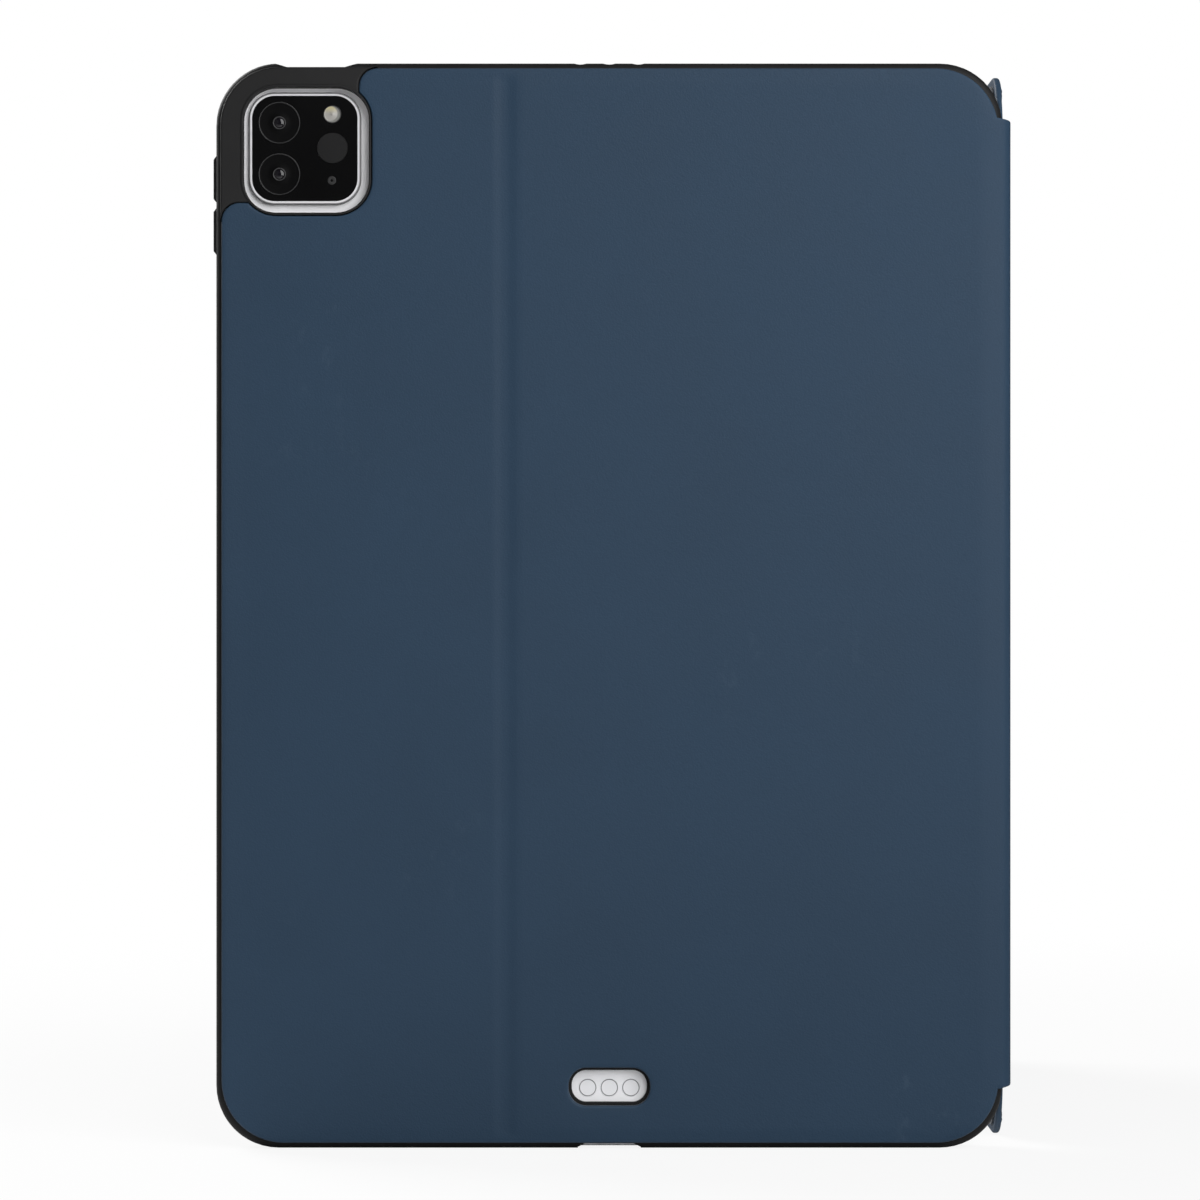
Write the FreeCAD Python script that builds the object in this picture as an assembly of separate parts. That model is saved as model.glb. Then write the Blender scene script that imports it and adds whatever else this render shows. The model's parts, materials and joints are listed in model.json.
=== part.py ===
import FreeCAD, Part
import os
from math import cos, pi, radians, sin, sqrt
from FreeCAD import Vector

# Tablet keyboard case, in millimetres. The case stands on its short bottom edge, open like a book.
# X runs to the right across the back, Y runs from the back panel towards the screen, and Z is up.
# The origin is the middle of the tray's bottom edge.

# Tablet
TABLET_WIDTH = 179.3
TABLET_HEIGHT = 248.4
TABLET_THICK = 5.9
TABLET_CORNER = 12.9
TABLET_CLEAR = 0.1
GLASS_THICK = 0.9
GLASS_BORDER = 1.2
GLASS_CLEAR = 0.1
HOUSING_BACK = 0.8
HOUSING_WALL = 14.0
CELL_HEIGHT = 3.6
CELL_CLEAR = 0.3
PORT_WIDTH = 8.9
PORT_HEIGHT = 3.2
PORT_WALL = 0.3
PORT_LENGTH = 7.0
PORT_CLEAR = 0.05

# Camera group, measured from the tablet's side and top edges and from its own centre
CAMERA_FROM_SIDE = 19.25
CAMERA_FROM_TOP = 17.9
PLINTH_SIZE = 26.0
PLINTH_CORNER = 6.05
PLINTH_RISE = 1.4
PLINTH_ROUND = 0.4
CAMERA_GLASS_SIZE = 24.3
CAMERA_GLASS_CORNER = 5.2
CAMERA_GLASS_THICK = 0.7
CAMERA_GLASS_PROUD = 0.1
CAMERA_FIT = 0.05
LENS_RADIUS = 4.8
LENS_OUT = 5.9
LENS_UP = 5.95
LENS_PROUD = 0.15
FLASH_RADIUS = 2.05
FLASH_OUT = 6.35
FLASH_UP = 7.9
SENSOR_RADIUS = 3.5
SENSOR_OUT = 6.4
SENSOR_UP = 0.1

# Contact pads on the tablet's back
CONTACT_RADIUS = 1.95
CONTACT_PITCH = 5.0
CONTACT_COUNT = 3
CONTACT_DEPTH = 0.4
CONTACT_GROOVE = 0.1
CONTACT_FROM_BOTTOM = 13.2

# Buttons on the tablet's edges
KEY_SINK = 0.6
BUTTON_TRAVEL = 0.4
BUTTON_CLEAR = 0.15
VOLUME_FROM_TOP = 21.4
VOLUME_LENGTH = 10.8
VOLUME_PITCH = 12.1
VOLUME_COVER_WIDTH = 3.8
VOLUME_COVER_THICK = 0.8
VOLUME_COVER_PROUD = 0.7
VOLUME_COVER_SLOPE = 0.9
VOLUME_COVER_ROUND = 0.4
VOLUME_KEY_WIDTH = 2.0
VOLUME_KEY_SHORTER = 1.2
TOP_BUTTON_FROM_SIDE = 23.15
TOP_BUTTON_LENGTH = 10.8
TOP_BUTTON_WIDTH = 2.6
TOP_BUTTON_PROUD = 0.7
TOP_BUTTON_ROUND = 0.25

# Moulded tray
SIDE_WALL = 1.4
BOTTOM_WALL = 0.8
TOP_WALL = 2.0
BACK_WALL = 1.2
LIP_THICK = 0.8
LIP_OVERLAP = 1.3
TRAY_CORNER = 14.5
TRAY_BACK_ROUND = 2.0
TRAY_FRONT_ROUND = 1.2
HOLE_SIZE = 29.0
HOLE_CORNER = 7.6
HOLE_SHIFT_X = 0.4
HOLE_SHIFT_Z = -0.5
HOLE_RIM = 0.7
HOLE_RIM_RISE = 0.25
HOLE_RIM_ROUND = 0.2
PLATEAU_BELOW_SKIN = 0.15
PLATEAU_ROUND = 0.5
WINDOW_WIDTH = 17.4
WINDOW_HEIGHT = 7.4
WINDOW_CORNER = 3.4
WINDOW_ABOVE_CONTACTS = 0.5
WINDOW_STEP = 0.7
SLOT_WIDTH = 14.6
SLOT_SLOPE = 1.7
SLOT_SIDE = 0.3
SLOT_TOP = 1.25
SLOT_FRONT_LEFT = 1.5
RECESS_LENGTH = 19.4
RECESS_SLOPE = 3.0
RECESS_DEPTH = 1.0
DIP_COUNT = 3
DIP_PITCH = 6.7
DIP_WIDTH = 3.0
DIP_DEPTH = 0.35

# Folded skin with its boards and lining
SKIN = 0.7
BOARD = 1.0
LINING = 0.5
PANEL_GAP = 0.15
SKIN_INSET = 1.25
BOARD_INSET = 5.0
LINING_INSET = 2.0
CREASE_FROM_SIDE = 115.2
CREASE_WIDTH = 6.5
CREASE_RAMP = 1.5
CREASE_DEPTH = 0.6
CREASE_SLIT = 0.05
NOTCH_CLEAR = 0.15
NOTCH_LOBE = 4.2
NOTCH_HUG = 50.0
NOTCH_BOARD_BACK = 2.5
FOLD_ROLL = 3.0
FOLD_SLIT = 0.05
FOLD_GAP = 0.38
SPINE_CLEAR = 0.3
SPINE_STIFFENER = 0.4
SPINE_LINING = 0.4
SPINE_LAYER_BACK = 2.0
SPINE_BOTTOM_INSET = 14.0
SPINE_TOP_INSET = 12.9
MAGNET_FROM_SIDE = 14.0
MAGNET_SPREAD = 130.0
MAGNET_WIDTH = 5.0
MAGNET_LENGTH = 24.0
MAGNET_CLEAR = 0.1
KEEPER_THICK = 0.6

# Front cover with the keyboard
CLOSED_GAP = 0.4
MODULE_SIDE = 6.0
MODULE_FRONT = 4.0
MODULE_CORNER = 9.0
MODULE_CLEAR = 0.3
BASE_FLOOR = 1.0
BASE_WALL = 1.4
BACKPLATE = 0.4
MEMBRANE = 0.2
DOME_SHEET = 0.3
DOME_RISE = 0.7
DOME_RADIUS = 2.8
DOME_CLEAR = 0.05
SHEET_CLEAR = 0.3
BEZEL_DECK = 1.0
BEZEL_RIM = 1.6
BEZEL_ROUND = 0.5
RIM_OVER_KEYS = 0.35
STRIP_WIDTH = 15.0
GROOVE_WIDTH = 10.0
GROOVE_WALL = 1.0
GROOVE_DROP = 1.4
GROOVE_FLOOR = 0.8
GROOVE_END = 8.0
GROOVE_TO_KEYS = 4.0
GROOVE_MAGNET_COUNT = 4
GROOVE_MAGNET_PITCH = 52.0
GROOVE_MAGNET_LENGTH = 36.0
GROOVE_MAGNET_WIDTH = 6.0
GROOVE_MAGNET_THICK = 1.2
PACK_WIDTH = 12.0
PACK_LENGTH = 116.0
PACK_THICK = 2.6
PCB_LENGTH = 44.0
PCB_THICK = 0.8
PCB_FROM_PACK = 4.0
PCB_FROM_PORT = 6.6
LIGHT_COUNT = 3
LIGHT_PITCH = 3.5
LIGHT_RADIUS = 0.8
LIGHT_CLEAR = 0.05
SWITCH_TRAVEL = 3.0
SWITCH_KNOB_LENGTH = 4.6
SWITCH_KNOB_WIDTH = 2.4
SWITCH_FLANGE = 1.2
SWITCH_FLANGE_THICK = 0.6
SWITCH_CLEAR = 0.15
SWITCH_PROUD = 0.4
SWITCH_ROUND = 0.2

# Keys
ROW_UNITS = 15.0
KEY_SIDE_MARGIN = 10.1
KEY_FRONT_MARGIN = 8.4
FUNCTION_PITCH = 10.6
KEY_SPACING = 1.9
KEY_CLEAR = 0.25
KEY_HEIGHT = 1.8
KEY_PROUD = 0.35
KEY_TRAVEL = 1.2
KEY_CORNER = 1.3
KEY_ROUND = 0.35

# Outline and levels that follow from the sizes above
TRAY_WIDTH = TABLET_WIDTH + 2 * SIDE_WALL
TRAY_HEIGHT = BOTTOM_WALL + TABLET_HEIGHT + TOP_WALL
TRAY_DEPTH = BACK_WALL + TABLET_THICK + LIP_THICK
TRAY_LEFT = -TRAY_WIDTH / 2
TRAY_RIGHT = TRAY_WIDTH / 2
TRAY_BACK = -TRAY_DEPTH / 2
TRAY_FRONT = TRAY_DEPTH / 2
TABLET_LEFT = -TABLET_WIDTH / 2
TABLET_RIGHT = TABLET_WIDTH / 2
TABLET_BOTTOM = BOTTOM_WALL
TABLET_TOP = BOTTOM_WALL + TABLET_HEIGHT
TABLET_BACK = TRAY_BACK + BACK_WALL
TABLET_FRONT = TABLET_BACK + TABLET_THICK
PANEL_FACE = TRAY_BACK - PANEL_GAP - LINING - BOARD - SKIN
PLATEAU_TOP = PANEL_FACE + PLATEAU_BELOW_SKIN
CAMERA_X = TABLET_LEFT + CAMERA_FROM_SIDE
CAMERA_Z = TABLET_TOP - CAMERA_FROM_TOP
HOLE_X = CAMERA_X + HOLE_SHIFT_X
HOLE_Z = CAMERA_Z + HOLE_SHIFT_Z
PLINTH_FACE = TABLET_BACK - PLINTH_RISE
CONTACT_Z = TABLET_BOTTOM + CONTACT_FROM_BOTTOM
WINDOW_Z = CONTACT_Z + WINDOW_ABOVE_CONTACTS
TOP_BUTTON_X = TRAY_LEFT + TOP_BUTTON_FROM_SIDE
SLOT_FRONT = TRAY_FRONT - SLOT_FRONT_LEFT
MIDDLE_Z = TRAY_HEIGHT / 2

# Fold lines: the crease in the back panel, then the two folds on each side of the spine
CREASE_X = TRAY_RIGHT - CREASE_FROM_SIDE
CREASE_Y = PANEL_FACE + CREASE_DEPTH
SPINE_THICK = SKIN + SPINE_STIFFENER + SPINE_LINING
SPINE_FACE = TRAY_RIGHT + SPINE_CLEAR + SPINE_THICK
SPINE_LOW = SPINE_BOTTOM_INSET
SPINE_HIGH = TRAY_HEIGHT - SPINE_TOP_INSET
ROLL_X = SPINE_FACE - FOLD_ROLL
ROLL_Y = PANEL_FACE + FOLD_ROLL
FOLD_DEPTH = FOLD_ROLL * (1 - sqrt(0.5))
FOLD_X = SPINE_FACE - FOLD_DEPTH
SPINE_FOLD_Y = PANEL_FACE + FOLD_DEPTH

# Keyboard layers, counted from the cover's outer face towards the keys
BASE_LEVEL = SKIN + BOARD
FLOOR_LEVEL = BASE_LEVEL + BASE_FLOOR
PLATE_LEVEL = FLOOR_LEVEL + BACKPLATE
MEMBRANE_LEVEL = PLATE_LEVEL + MEMBRANE
SHEET_LEVEL = MEMBRANE_LEVEL + DOME_SHEET
DOME_LEVEL = SHEET_LEVEL + DOME_RISE
KEY_LOW = DOME_LEVEL + DOME_CLEAR + KEY_TRAVEL
KEY_HIGH = KEY_LOW + KEY_HEIGHT
DECK_LEVEL = KEY_HIGH - KEY_PROUD
SEAT_LEVEL = DECK_LEVEL - BEZEL_DECK
RIM_LEVEL = KEY_HIGH + RIM_OVER_KEYS
GROOVE_LOW = SEAT_LEVEL - GROOVE_DROP

# The cover lies on the screen when shut, so the fold beside it follows the closed thickness
COVER_FOLD_Y = TRAY_FRONT + CLOSED_GAP + RIM_LEVEL - FOLD_DEPTH
COVER_NEAR = FOLD_X - TRAY_RIGHT
COVER_FAR = FOLD_X - TRAY_LEFT

# Keyboard places: "along" runs from the cover fold to the free edge, "up" is Z
KEY_PITCH = (TRAY_HEIGHT - 2 * KEY_SIDE_MARGIN) / ROW_UNITS
KEY_ROWS = 5
KEYS_END = COVER_FAR - KEY_FRONT_MARGIN
KEYS_START = KEYS_END - KEY_ROWS * KEY_PITCH - FUNCTION_PITCH
GROOVE_FAR = KEYS_START - GROOVE_TO_KEYS
GROOVE_NEAR = GROOVE_FAR - GROOVE_WIDTH
STRIP_NEAR = GROOVE_NEAR - GROOVE_WALL - STRIP_WIDTH
MODULE_NEAR = STRIP_NEAR - BASE_WALL
MODULE_FAR = COVER_FAR - MODULE_FRONT
MODULE_LOW = MODULE_SIDE
MODULE_HIGH = TRAY_HEIGHT - MODULE_SIDE
STRIP_MIDDLE = STRIP_NEAR + STRIP_WIDTH / 2
PCB_HIGH = MODULE_HIGH - PORT_LENGTH - PCB_FROM_PORT
PCB_LOW = PCB_HIGH - PCB_LENGTH
PACK_HIGH = PCB_LOW - PCB_FROM_PACK
PACK_LOW = PACK_HIGH - PACK_LENGTH
LIGHT_LOW = PCB_LOW + LIGHT_PITCH
SWITCH_LOW = PCB_HIGH - SWITCH_KNOB_LENGTH - 2 * SWITCH_TRAVEL - SWITCH_FLANGE


def on_back(across, up, depth):
    """A point given across the back, up, and at a depth along Y."""
    return Vector(across, depth, up)


def on_deck(along, up, level):
    """A point given along the cover from its fold, up, and at a level above the cover's outer face."""
    return Vector(SPINE_FACE - level, COVER_FOLD_Y + along, up)


def outline_face(plane, depth, start, moves):
    """A flat face: each move is an end point, or a pair of mid point and end point for an arc."""
    edges = []
    here = start
    for move in moves:
        is_arc = isinstance(move[0], tuple)
        there = move[1] if is_arc else move
        a = plane(here[0], here[1], depth)
        b = plane(there[0], there[1], depth)
        if is_arc:
            edges.append(Part.Arc(a, plane(move[0][0], move[0][1], depth), b).toShape())
        elif a.distanceToPoint(b) > 1e-6:
            edges.append(Part.LineSegment(a, b).toShape())
        here = there
    return Part.Face(Part.Wire(edges))


def slab(plane, low, high, outline):
    """An outline carried from one depth to another."""
    start, moves = outline
    return outline_face(plane, low, start, moves).extrude(plane(0, 0, high) - plane(0, 0, low))


def rounded(left, bottom, right, top, radius):
    """A rectangle with round corners."""
    cut = radius * (1 - sqrt(0.5))
    moves = [
        (right - radius, bottom),
        ((right - cut, bottom + cut), (right, bottom + radius)),
        (right, top - radius),
        ((right - cut, top - cut), (right - radius, top)),
        (left + radius, top),
        ((left + cut, top - cut), (left, top - radius)),
        (left, bottom + radius),
        ((left + cut, bottom + cut), (left + radius, bottom)),
    ]
    return (left + radius, bottom), moves


def rounded_about(x, z, width, height, radius):
    return rounded(x - width / 2, z - height / 2, x + width / 2, z + height / 2, radius)


def polygon(*points):
    return points[0], list(points[1:]) + [points[0]]


def rectangle(left, bottom, right, top):
    return polygon((left, bottom), (right, bottom), (right, top), (left, top))


def upright(points, low, high):
    """A cross-section in X and Y carried up from one height to another."""
    corners = [Vector(x, y, low) for x, y in points]
    return Part.Face(Part.makePolygon(corners + corners[:1])).extrude(Vector(0, 0, high - low))


def block(x0, y0, z0, x1, y1, z1):
    return Part.makeBox(x1 - x0, y1 - y0, z1 - z0, Vector(x0, y0, z0))


def disc(plane, across, up, low, high, radius):
    base = plane(across, up, low)
    step = plane(across, up, high) - base
    return Part.makeCylinder(radius, step.Length, base, step)


def soften(shape, radius, axis, place):
    """Rounds the edges that lie across an axis, all at one place on it."""
    edges = []
    for edge in shape.Edges:
        low = getattr(edge.BoundBox, axis + "Min")
        high = getattr(edge.BoundBox, axis + "Max")
        if abs(low - place) < 1e-4 and abs(high - place) < 1e-4:
            edges.append(edge)
    return shape.makeFillet(radius, edges)


def tray_outline(inset):
    return rounded(
        TRAY_LEFT + inset, inset, TRAY_RIGHT - inset, TRAY_HEIGHT - inset, TRAY_CORNER - inset
    )


def tablet_outline(inset):
    return rounded(
        TABLET_LEFT + inset,
        TABLET_BOTTOM + inset,
        TABLET_RIGHT - inset,
        TABLET_TOP - inset,
        max(TABLET_CORNER - inset, 1.0),
    )


def cover_outline(inset):
    return rounded(
        COVER_NEAR + inset, inset, COVER_FAR - inset, TRAY_HEIGHT - inset, TRAY_CORNER - inset
    )


def module_outline(inset):
    return rounded(
        MODULE_NEAR + inset,
        MODULE_LOW + inset,
        MODULE_FAR - inset,
        MODULE_HIGH - inset,
        MODULE_CORNER - inset,
    )


def window_outline(grow):
    return rounded_about(
        0, WINDOW_Z, WINDOW_WIDTH + 2 * grow, WINDOW_HEIGHT + 2 * grow, WINDOW_CORNER + grow
    )


def notch_outline(grow):
    """The camera corner left open by the skin: it hugs the hole's rim, then turns out to both edges."""
    half = HOLE_SIZE / 2 + HOLE_RIM + grow
    radius = HOLE_CORNER + HOLE_RIM + grow
    lobe = NOTCH_LOBE - grow
    beyond = 2 * TRAY_CORNER
    left = TRAY_LEFT + SKIN_INSET
    top = TRAY_HEIGHT - SKIN_INSET
    near_x = HOLE_X + half - radius
    far_x = HOLE_X - half + radius
    high_z = HOLE_Z + half - radius
    low_z = HOLE_Z - half + radius

    def round_point(x, z, degrees):
        return (x + radius * cos(radians(degrees)), z + radius * sin(radians(degrees)))

    bend = lobe * (1 - sqrt(0.5))
    up_end = round_point(near_x, high_z, NOTCH_HUG)
    side_end = round_point(far_x, low_z, -90 - NOTCH_HUG)
    moves = [
        (up_end[0] + lobe, top + beyond),
        (up_end[0] + lobe, top),
        ((up_end[0] + bend, top - bend), (up_end[0], top - lobe)),
        up_end,
        (round_point(near_x, high_z, NOTCH_HUG / 2), (HOLE_X + half, high_z)),
        (HOLE_X + half, low_z),
        (round_point(near_x, low_z, -45), (near_x, HOLE_Z - half)),
        (far_x, HOLE_Z - half),
        (round_point(far_x, low_z, -90 - NOTCH_HUG / 2), side_end),
        (left + lobe, side_end[1]),
        ((left + bend, side_end[1] - bend), (left, side_end[1] - lobe)),
        (left - beyond, side_end[1] - lobe),
        (left - beyond, top + beyond),
    ]
    return (left - beyond, top + beyond), moves


def volume_span(place):
    """Lowest and highest point of the first or the second volume button."""
    high = TRAY_HEIGHT - VOLUME_FROM_TOP - place * VOLUME_PITCH
    return high - VOLUME_LENGTH, high


def magnet_blocks(low, high, grow):
    """The bar magnets' places, as blocks between two depths."""
    x = TRAY_RIGHT - MAGNET_FROM_SIDE
    blocks = []
    for side in (-1, 1):
        z = MIDDLE_Z + side * MAGNET_SPREAD / 2
        outline = rounded_about(
            x, z, MAGNET_WIDTH + 2 * grow, MAGNET_LENGTH + 2 * grow, MAGNET_WIDTH / 5
        )
        blocks.append(slab(on_back, low, high, outline))
    return blocks


def key_places():
    """Each key as (node, near, low, far, high), row by row from the user's left, which is up."""
    plain = 1.0
    function = ROW_UNITS / 14
    rows = [
        [("key_escape", function)] + [("keys_function", function)] * 13,
        [("keys_number", plain)] * 13 + [("key_backspace", 2.0)],
        [("key_tab", 1.5)] + [("keys_upper", plain)] * 12 + [("keys_upper", 1.5)],
        [("key_caps", 1.75)] + [("keys_home", plain)] * 11 + [("key_enter", 2.25)],
        [("key_left_shift", 2.25)] + [("keys_lower", plain)] * 10 + [("key_right_shift", 2.75)],
        [("keys_modifier", plain)] * 3
        + [("keys_modifier", 1.25), ("key_space", 5.5), ("keys_modifier", 1.25)]
        + [("keys_modifier", plain), ("key_left", plain), ("up_down", plain), ("key_right", plain)],
    ]
    places = []
    near = KEYS_START
    for number, row in enumerate(rows):
        depth = KEY_PITCH if number else FUNCTION_PITCH
        high = TRAY_HEIGHT - KEY_SIDE_MARGIN
        for node, units in row:
            low = high - units * KEY_PITCH
            middle = near + depth / 2
            if node == "up_down":
                places.append(("key_up", near, low, middle, high))
                places.append(("key_down", middle, low, near + depth, high))
            else:
                places.append((node, near, low, near + depth, high))
            high = low
        near += depth
    return places


def key_outline(place, grow):
    """A keycap's outline. The two half-height arrow keys share one gap, so they lose half of it each."""
    node, near, low, far, high = place
    gap = KEY_SPACING / 2 - grow
    near_gap = far_gap = gap
    if node == "key_up":
        far_gap = gap - KEY_SPACING / 2 + KEY_CLEAR + KEY_SPACING / 4
    if node == "key_down":
        near_gap = gap - KEY_SPACING / 2 + KEY_CLEAR + KEY_SPACING / 4
    return rounded(near + near_gap, low + gap, far - far_gap, high - gap, KEY_CORNER + grow)


def shell_tray():
    body = slab(on_back, TRAY_BACK, TRAY_FRONT, tray_outline(0))
    body = soften(body, TRAY_BACK_ROUND, "Y", TRAY_BACK)
    body = soften(body, TRAY_FRONT_ROUND, "Y", TRAY_FRONT)
    root = TRAY_BACK + BACK_WALL / 2
    plateau = slab(on_back, PLATEAU_TOP, root, notch_outline(-NOTCH_CLEAR))
    plateau = plateau.common(slab(on_back, PLATEAU_TOP, root, tray_outline(SKIN_INSET)))
    plateau = soften(plateau, PLATEAU_ROUND, "Y", PLATEAU_TOP)
    rim_size = HOLE_SIZE + 2 * HOLE_RIM - 2 * NOTCH_CLEAR
    rim_corner = HOLE_CORNER + HOLE_RIM - NOTCH_CLEAR
    rim_outline = rounded_about(HOLE_X, HOLE_Z, rim_size, rim_size, rim_corner)
    rim_top = PLATEAU_TOP - HOLE_RIM_RISE
    rim = slab(on_back, rim_top, root, rim_outline)
    body = body.fuse([plateau, rim]).removeSplitter()

    far = 2 * TRAY_DEPTH
    lip = TABLET_FRONT
    cuts = [
        slab(on_back, TABLET_BACK, lip, tablet_outline(-TABLET_CLEAR)),
        slab(on_back, TABLET_BACK, far, tablet_outline(LIP_OVERLAP)),
        slab(on_back, -far, lip, rounded_about(HOLE_X, HOLE_Z, HOLE_SIZE, HOLE_SIZE, HOLE_CORNER)),
        slab(on_back, -far, lip, window_outline(0)),
    ]
    half = SLOT_WIDTH / 2
    slot = polygon(
        (-half, -1),
        (half, -1),
        (half, SLOT_SIDE),
        (half - SLOT_SLOPE, SLOT_TOP),
        (SLOT_SLOPE - half, SLOT_TOP),
        (-half, SLOT_SIDE),
    )
    cuts.append(slab(on_back, -far, SLOT_FRONT, slot))
    half = RECESS_LENGTH / 2
    recess = polygon(
        (TOP_BUTTON_X - half, TRAY_HEIGHT + 1),
        (TOP_BUTTON_X - half, TRAY_HEIGHT),
        (TOP_BUTTON_X - half + RECESS_SLOPE, TRAY_HEIGHT - RECESS_DEPTH),
        (TOP_BUTTON_X + half - RECESS_SLOPE, TRAY_HEIGHT - RECESS_DEPTH),
        (TOP_BUTTON_X + half, TRAY_HEIGHT),
        (TOP_BUTTON_X + half, TRAY_HEIGHT + 1),
    )
    cuts.append(slab(on_back, -far, far, recess))
    dip_radius = ((DIP_WIDTH / 2) ** 2 + DIP_DEPTH**2) / (2 * DIP_DEPTH)
    for number in range(DIP_COUNT):
        x = (number - (DIP_COUNT - 1) / 2) * DIP_PITCH
        cuts.append(disc(on_back, x, TRAY_HEIGHT - DIP_DEPTH + dip_radius, -far, far, dip_radius))
    for place in (0, 1):
        low, high = volume_span(place)
        reach = VOLUME_COVER_WIDTH / 2 + BUTTON_CLEAR
        cuts.append(
            block(
                TRAY_LEFT - 1, -reach, low - BUTTON_CLEAR, TABLET_LEFT, reach, high + BUTTON_CLEAR
            )
        )
    reach_x = TOP_BUTTON_LENGTH / 2 + BUTTON_CLEAR
    reach_y = TOP_BUTTON_WIDTH / 2 + BUTTON_CLEAR
    cuts.append(
        block(
            TOP_BUTTON_X - reach_x,
            -reach_y,
            TABLET_TOP,
            TOP_BUTTON_X + reach_x,
            reach_y,
            TRAY_HEIGHT + 1,
        )
    )
    cuts.extend(magnet_blocks(TABLET_BACK - KEEPER_THICK, TABLET_BACK, MAGNET_CLEAR))
    return soften(body.cut(cuts), HOLE_RIM_ROUND, "Y", rim_top)


def keeper_strips():
    return Part.makeCompound(magnet_blocks(TABLET_BACK - KEEPER_THICK, TABLET_BACK, 0))


def volume_cover(place):
    low, high = volume_span(place)
    outer = TRAY_LEFT - VOLUME_COVER_PROUD
    inner = TRAY_LEFT + VOLUME_COVER_THICK
    reach = VOLUME_COVER_WIDTH / 2
    outline = polygon(
        (TRAY_LEFT, low),
        (inner, low),
        (inner, high),
        (TRAY_LEFT, high),
        (outer, high - VOLUME_COVER_SLOPE),
        (outer, low + VOLUME_COVER_SLOPE),
    )
    return soften(slab(on_back, -reach, reach, outline), VOLUME_COVER_ROUND, "X", outer)


def volume_key_block(place, grow, deeper):
    low, high = volume_span(place)
    reach = VOLUME_KEY_WIDTH / 2 + grow
    return block(
        TRAY_LEFT + VOLUME_COVER_THICK,
        -reach,
        low + VOLUME_KEY_SHORTER - grow,
        TABLET_LEFT + KEY_SINK + deeper,
        reach,
        high - VOLUME_KEY_SHORTER + grow,
    )


def top_button_block(grow, deeper):
    reach_x = TOP_BUTTON_LENGTH / 2 + grow
    reach_y = TOP_BUTTON_WIDTH / 2 + grow
    return block(
        TOP_BUTTON_X - reach_x,
        -reach_y,
        TABLET_TOP - KEY_SINK - deeper,
        TOP_BUTTON_X + reach_x,
        reach_y,
        TABLET_TOP + TOP_BUTTON_PROUD,
    )


def tablet_top_button():
    return soften(top_button_block(0, 0), TOP_BUTTON_ROUND, "Z", TABLET_TOP + TOP_BUTTON_PROUD)


def port_tube(plane_point, width, height, radius, base, length):
    """A port's round-ended section in X and Y, carried up from a base height."""
    x, y = plane_point
    face = outline_face(
        lambda p, q, d: Vector(p, q, d), base, *rounded_about(x, y, width, height, radius)
    )
    return face.extrude(Vector(0, 0, length))


def port_shell(x, y, width, height, base):
    outer = port_tube((x, y), width, height, min(width, height) / 2 - 0.1, base, PORT_LENGTH)
    inner_width = width - 2 * PORT_WALL
    inner_height = height - 2 * PORT_WALL
    inner_radius = min(inner_width, inner_height) / 2 - 0.1
    inner = port_tube((x, y), inner_width, inner_height, inner_radius, base, PORT_LENGTH)
    return outer.cut(inner)


def tablet_housing():
    body = slab(on_back, TABLET_BACK, TABLET_FRONT, tablet_outline(0))
    glass_seat = TABLET_FRONT - GLASS_THICK
    deeper = BUTTON_TRAVEL + BUTTON_CLEAR
    cuts = [
        slab(on_back, glass_seat, TABLET_FRONT + 1, tablet_outline(GLASS_BORDER)),
        slab(on_back, TABLET_BACK + HOUSING_BACK, glass_seat, tablet_outline(HOUSING_WALL)),
        volume_key_block(0, BUTTON_CLEAR, deeper),
        volume_key_block(1, BUTTON_CLEAR, deeper),
        top_button_block(BUTTON_CLEAR, deeper),
        port_tube(
            (0, 0),
            PORT_WIDTH + 2 * PORT_CLEAR,
            PORT_HEIGHT + 2 * PORT_CLEAR,
            PORT_HEIGHT / 2 - PORT_CLEAR,
            TABLET_BOTTOM - 1,
            PORT_LENGTH + 1,
        ),
    ]
    for x in contact_places():
        groove = CONTACT_RADIUS + CONTACT_GROOVE
        cuts.append(
            disc(on_back, x, CONTACT_Z, TABLET_BACK - 1, TABLET_BACK + CONTACT_DEPTH, groove)
        )
    return body.cut(cuts)


def contact_places():
    return [(n - (CONTACT_COUNT - 1) / 2) * CONTACT_PITCH for n in range(CONTACT_COUNT)]


def contact_pads():
    depth = TABLET_BACK + CONTACT_DEPTH
    pads = [
        disc(on_back, x, CONTACT_Z, TABLET_BACK, depth, CONTACT_RADIUS) for x in contact_places()
    ]
    return Part.makeCompound(pads)


def tablet_display_glass():
    seat = TABLET_FRONT - GLASS_THICK
    return slab(on_back, seat, TABLET_FRONT, tablet_outline(GLASS_BORDER + GLASS_CLEAR))


def tablet_battery():
    low = TABLET_BACK + HOUSING_BACK
    return slab(on_back, low, low + CELL_HEIGHT, tablet_outline(HOUSING_WALL + CELL_CLEAR))


def camera_square(size, corner):
    return rounded_about(CAMERA_X, CAMERA_Z, size, size, corner)


def camera_seat():
    return PLINTH_FACE - CAMERA_GLASS_PROUD + CAMERA_GLASS_THICK


def camera_plinth():
    body = slab(on_back, PLINTH_FACE, TABLET_BACK, camera_square(PLINTH_SIZE, PLINTH_CORNER))
    body = soften(body, PLINTH_ROUND, "Y", PLINTH_FACE)
    pocket_size = CAMERA_GLASS_SIZE + 2 * CAMERA_FIT
    pocket_corner = CAMERA_GLASS_CORNER + CAMERA_FIT
    pocket = slab(
        on_back, PLINTH_FACE - 1, camera_seat(), camera_square(pocket_size, pocket_corner)
    )
    return body.cut(pocket)


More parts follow.
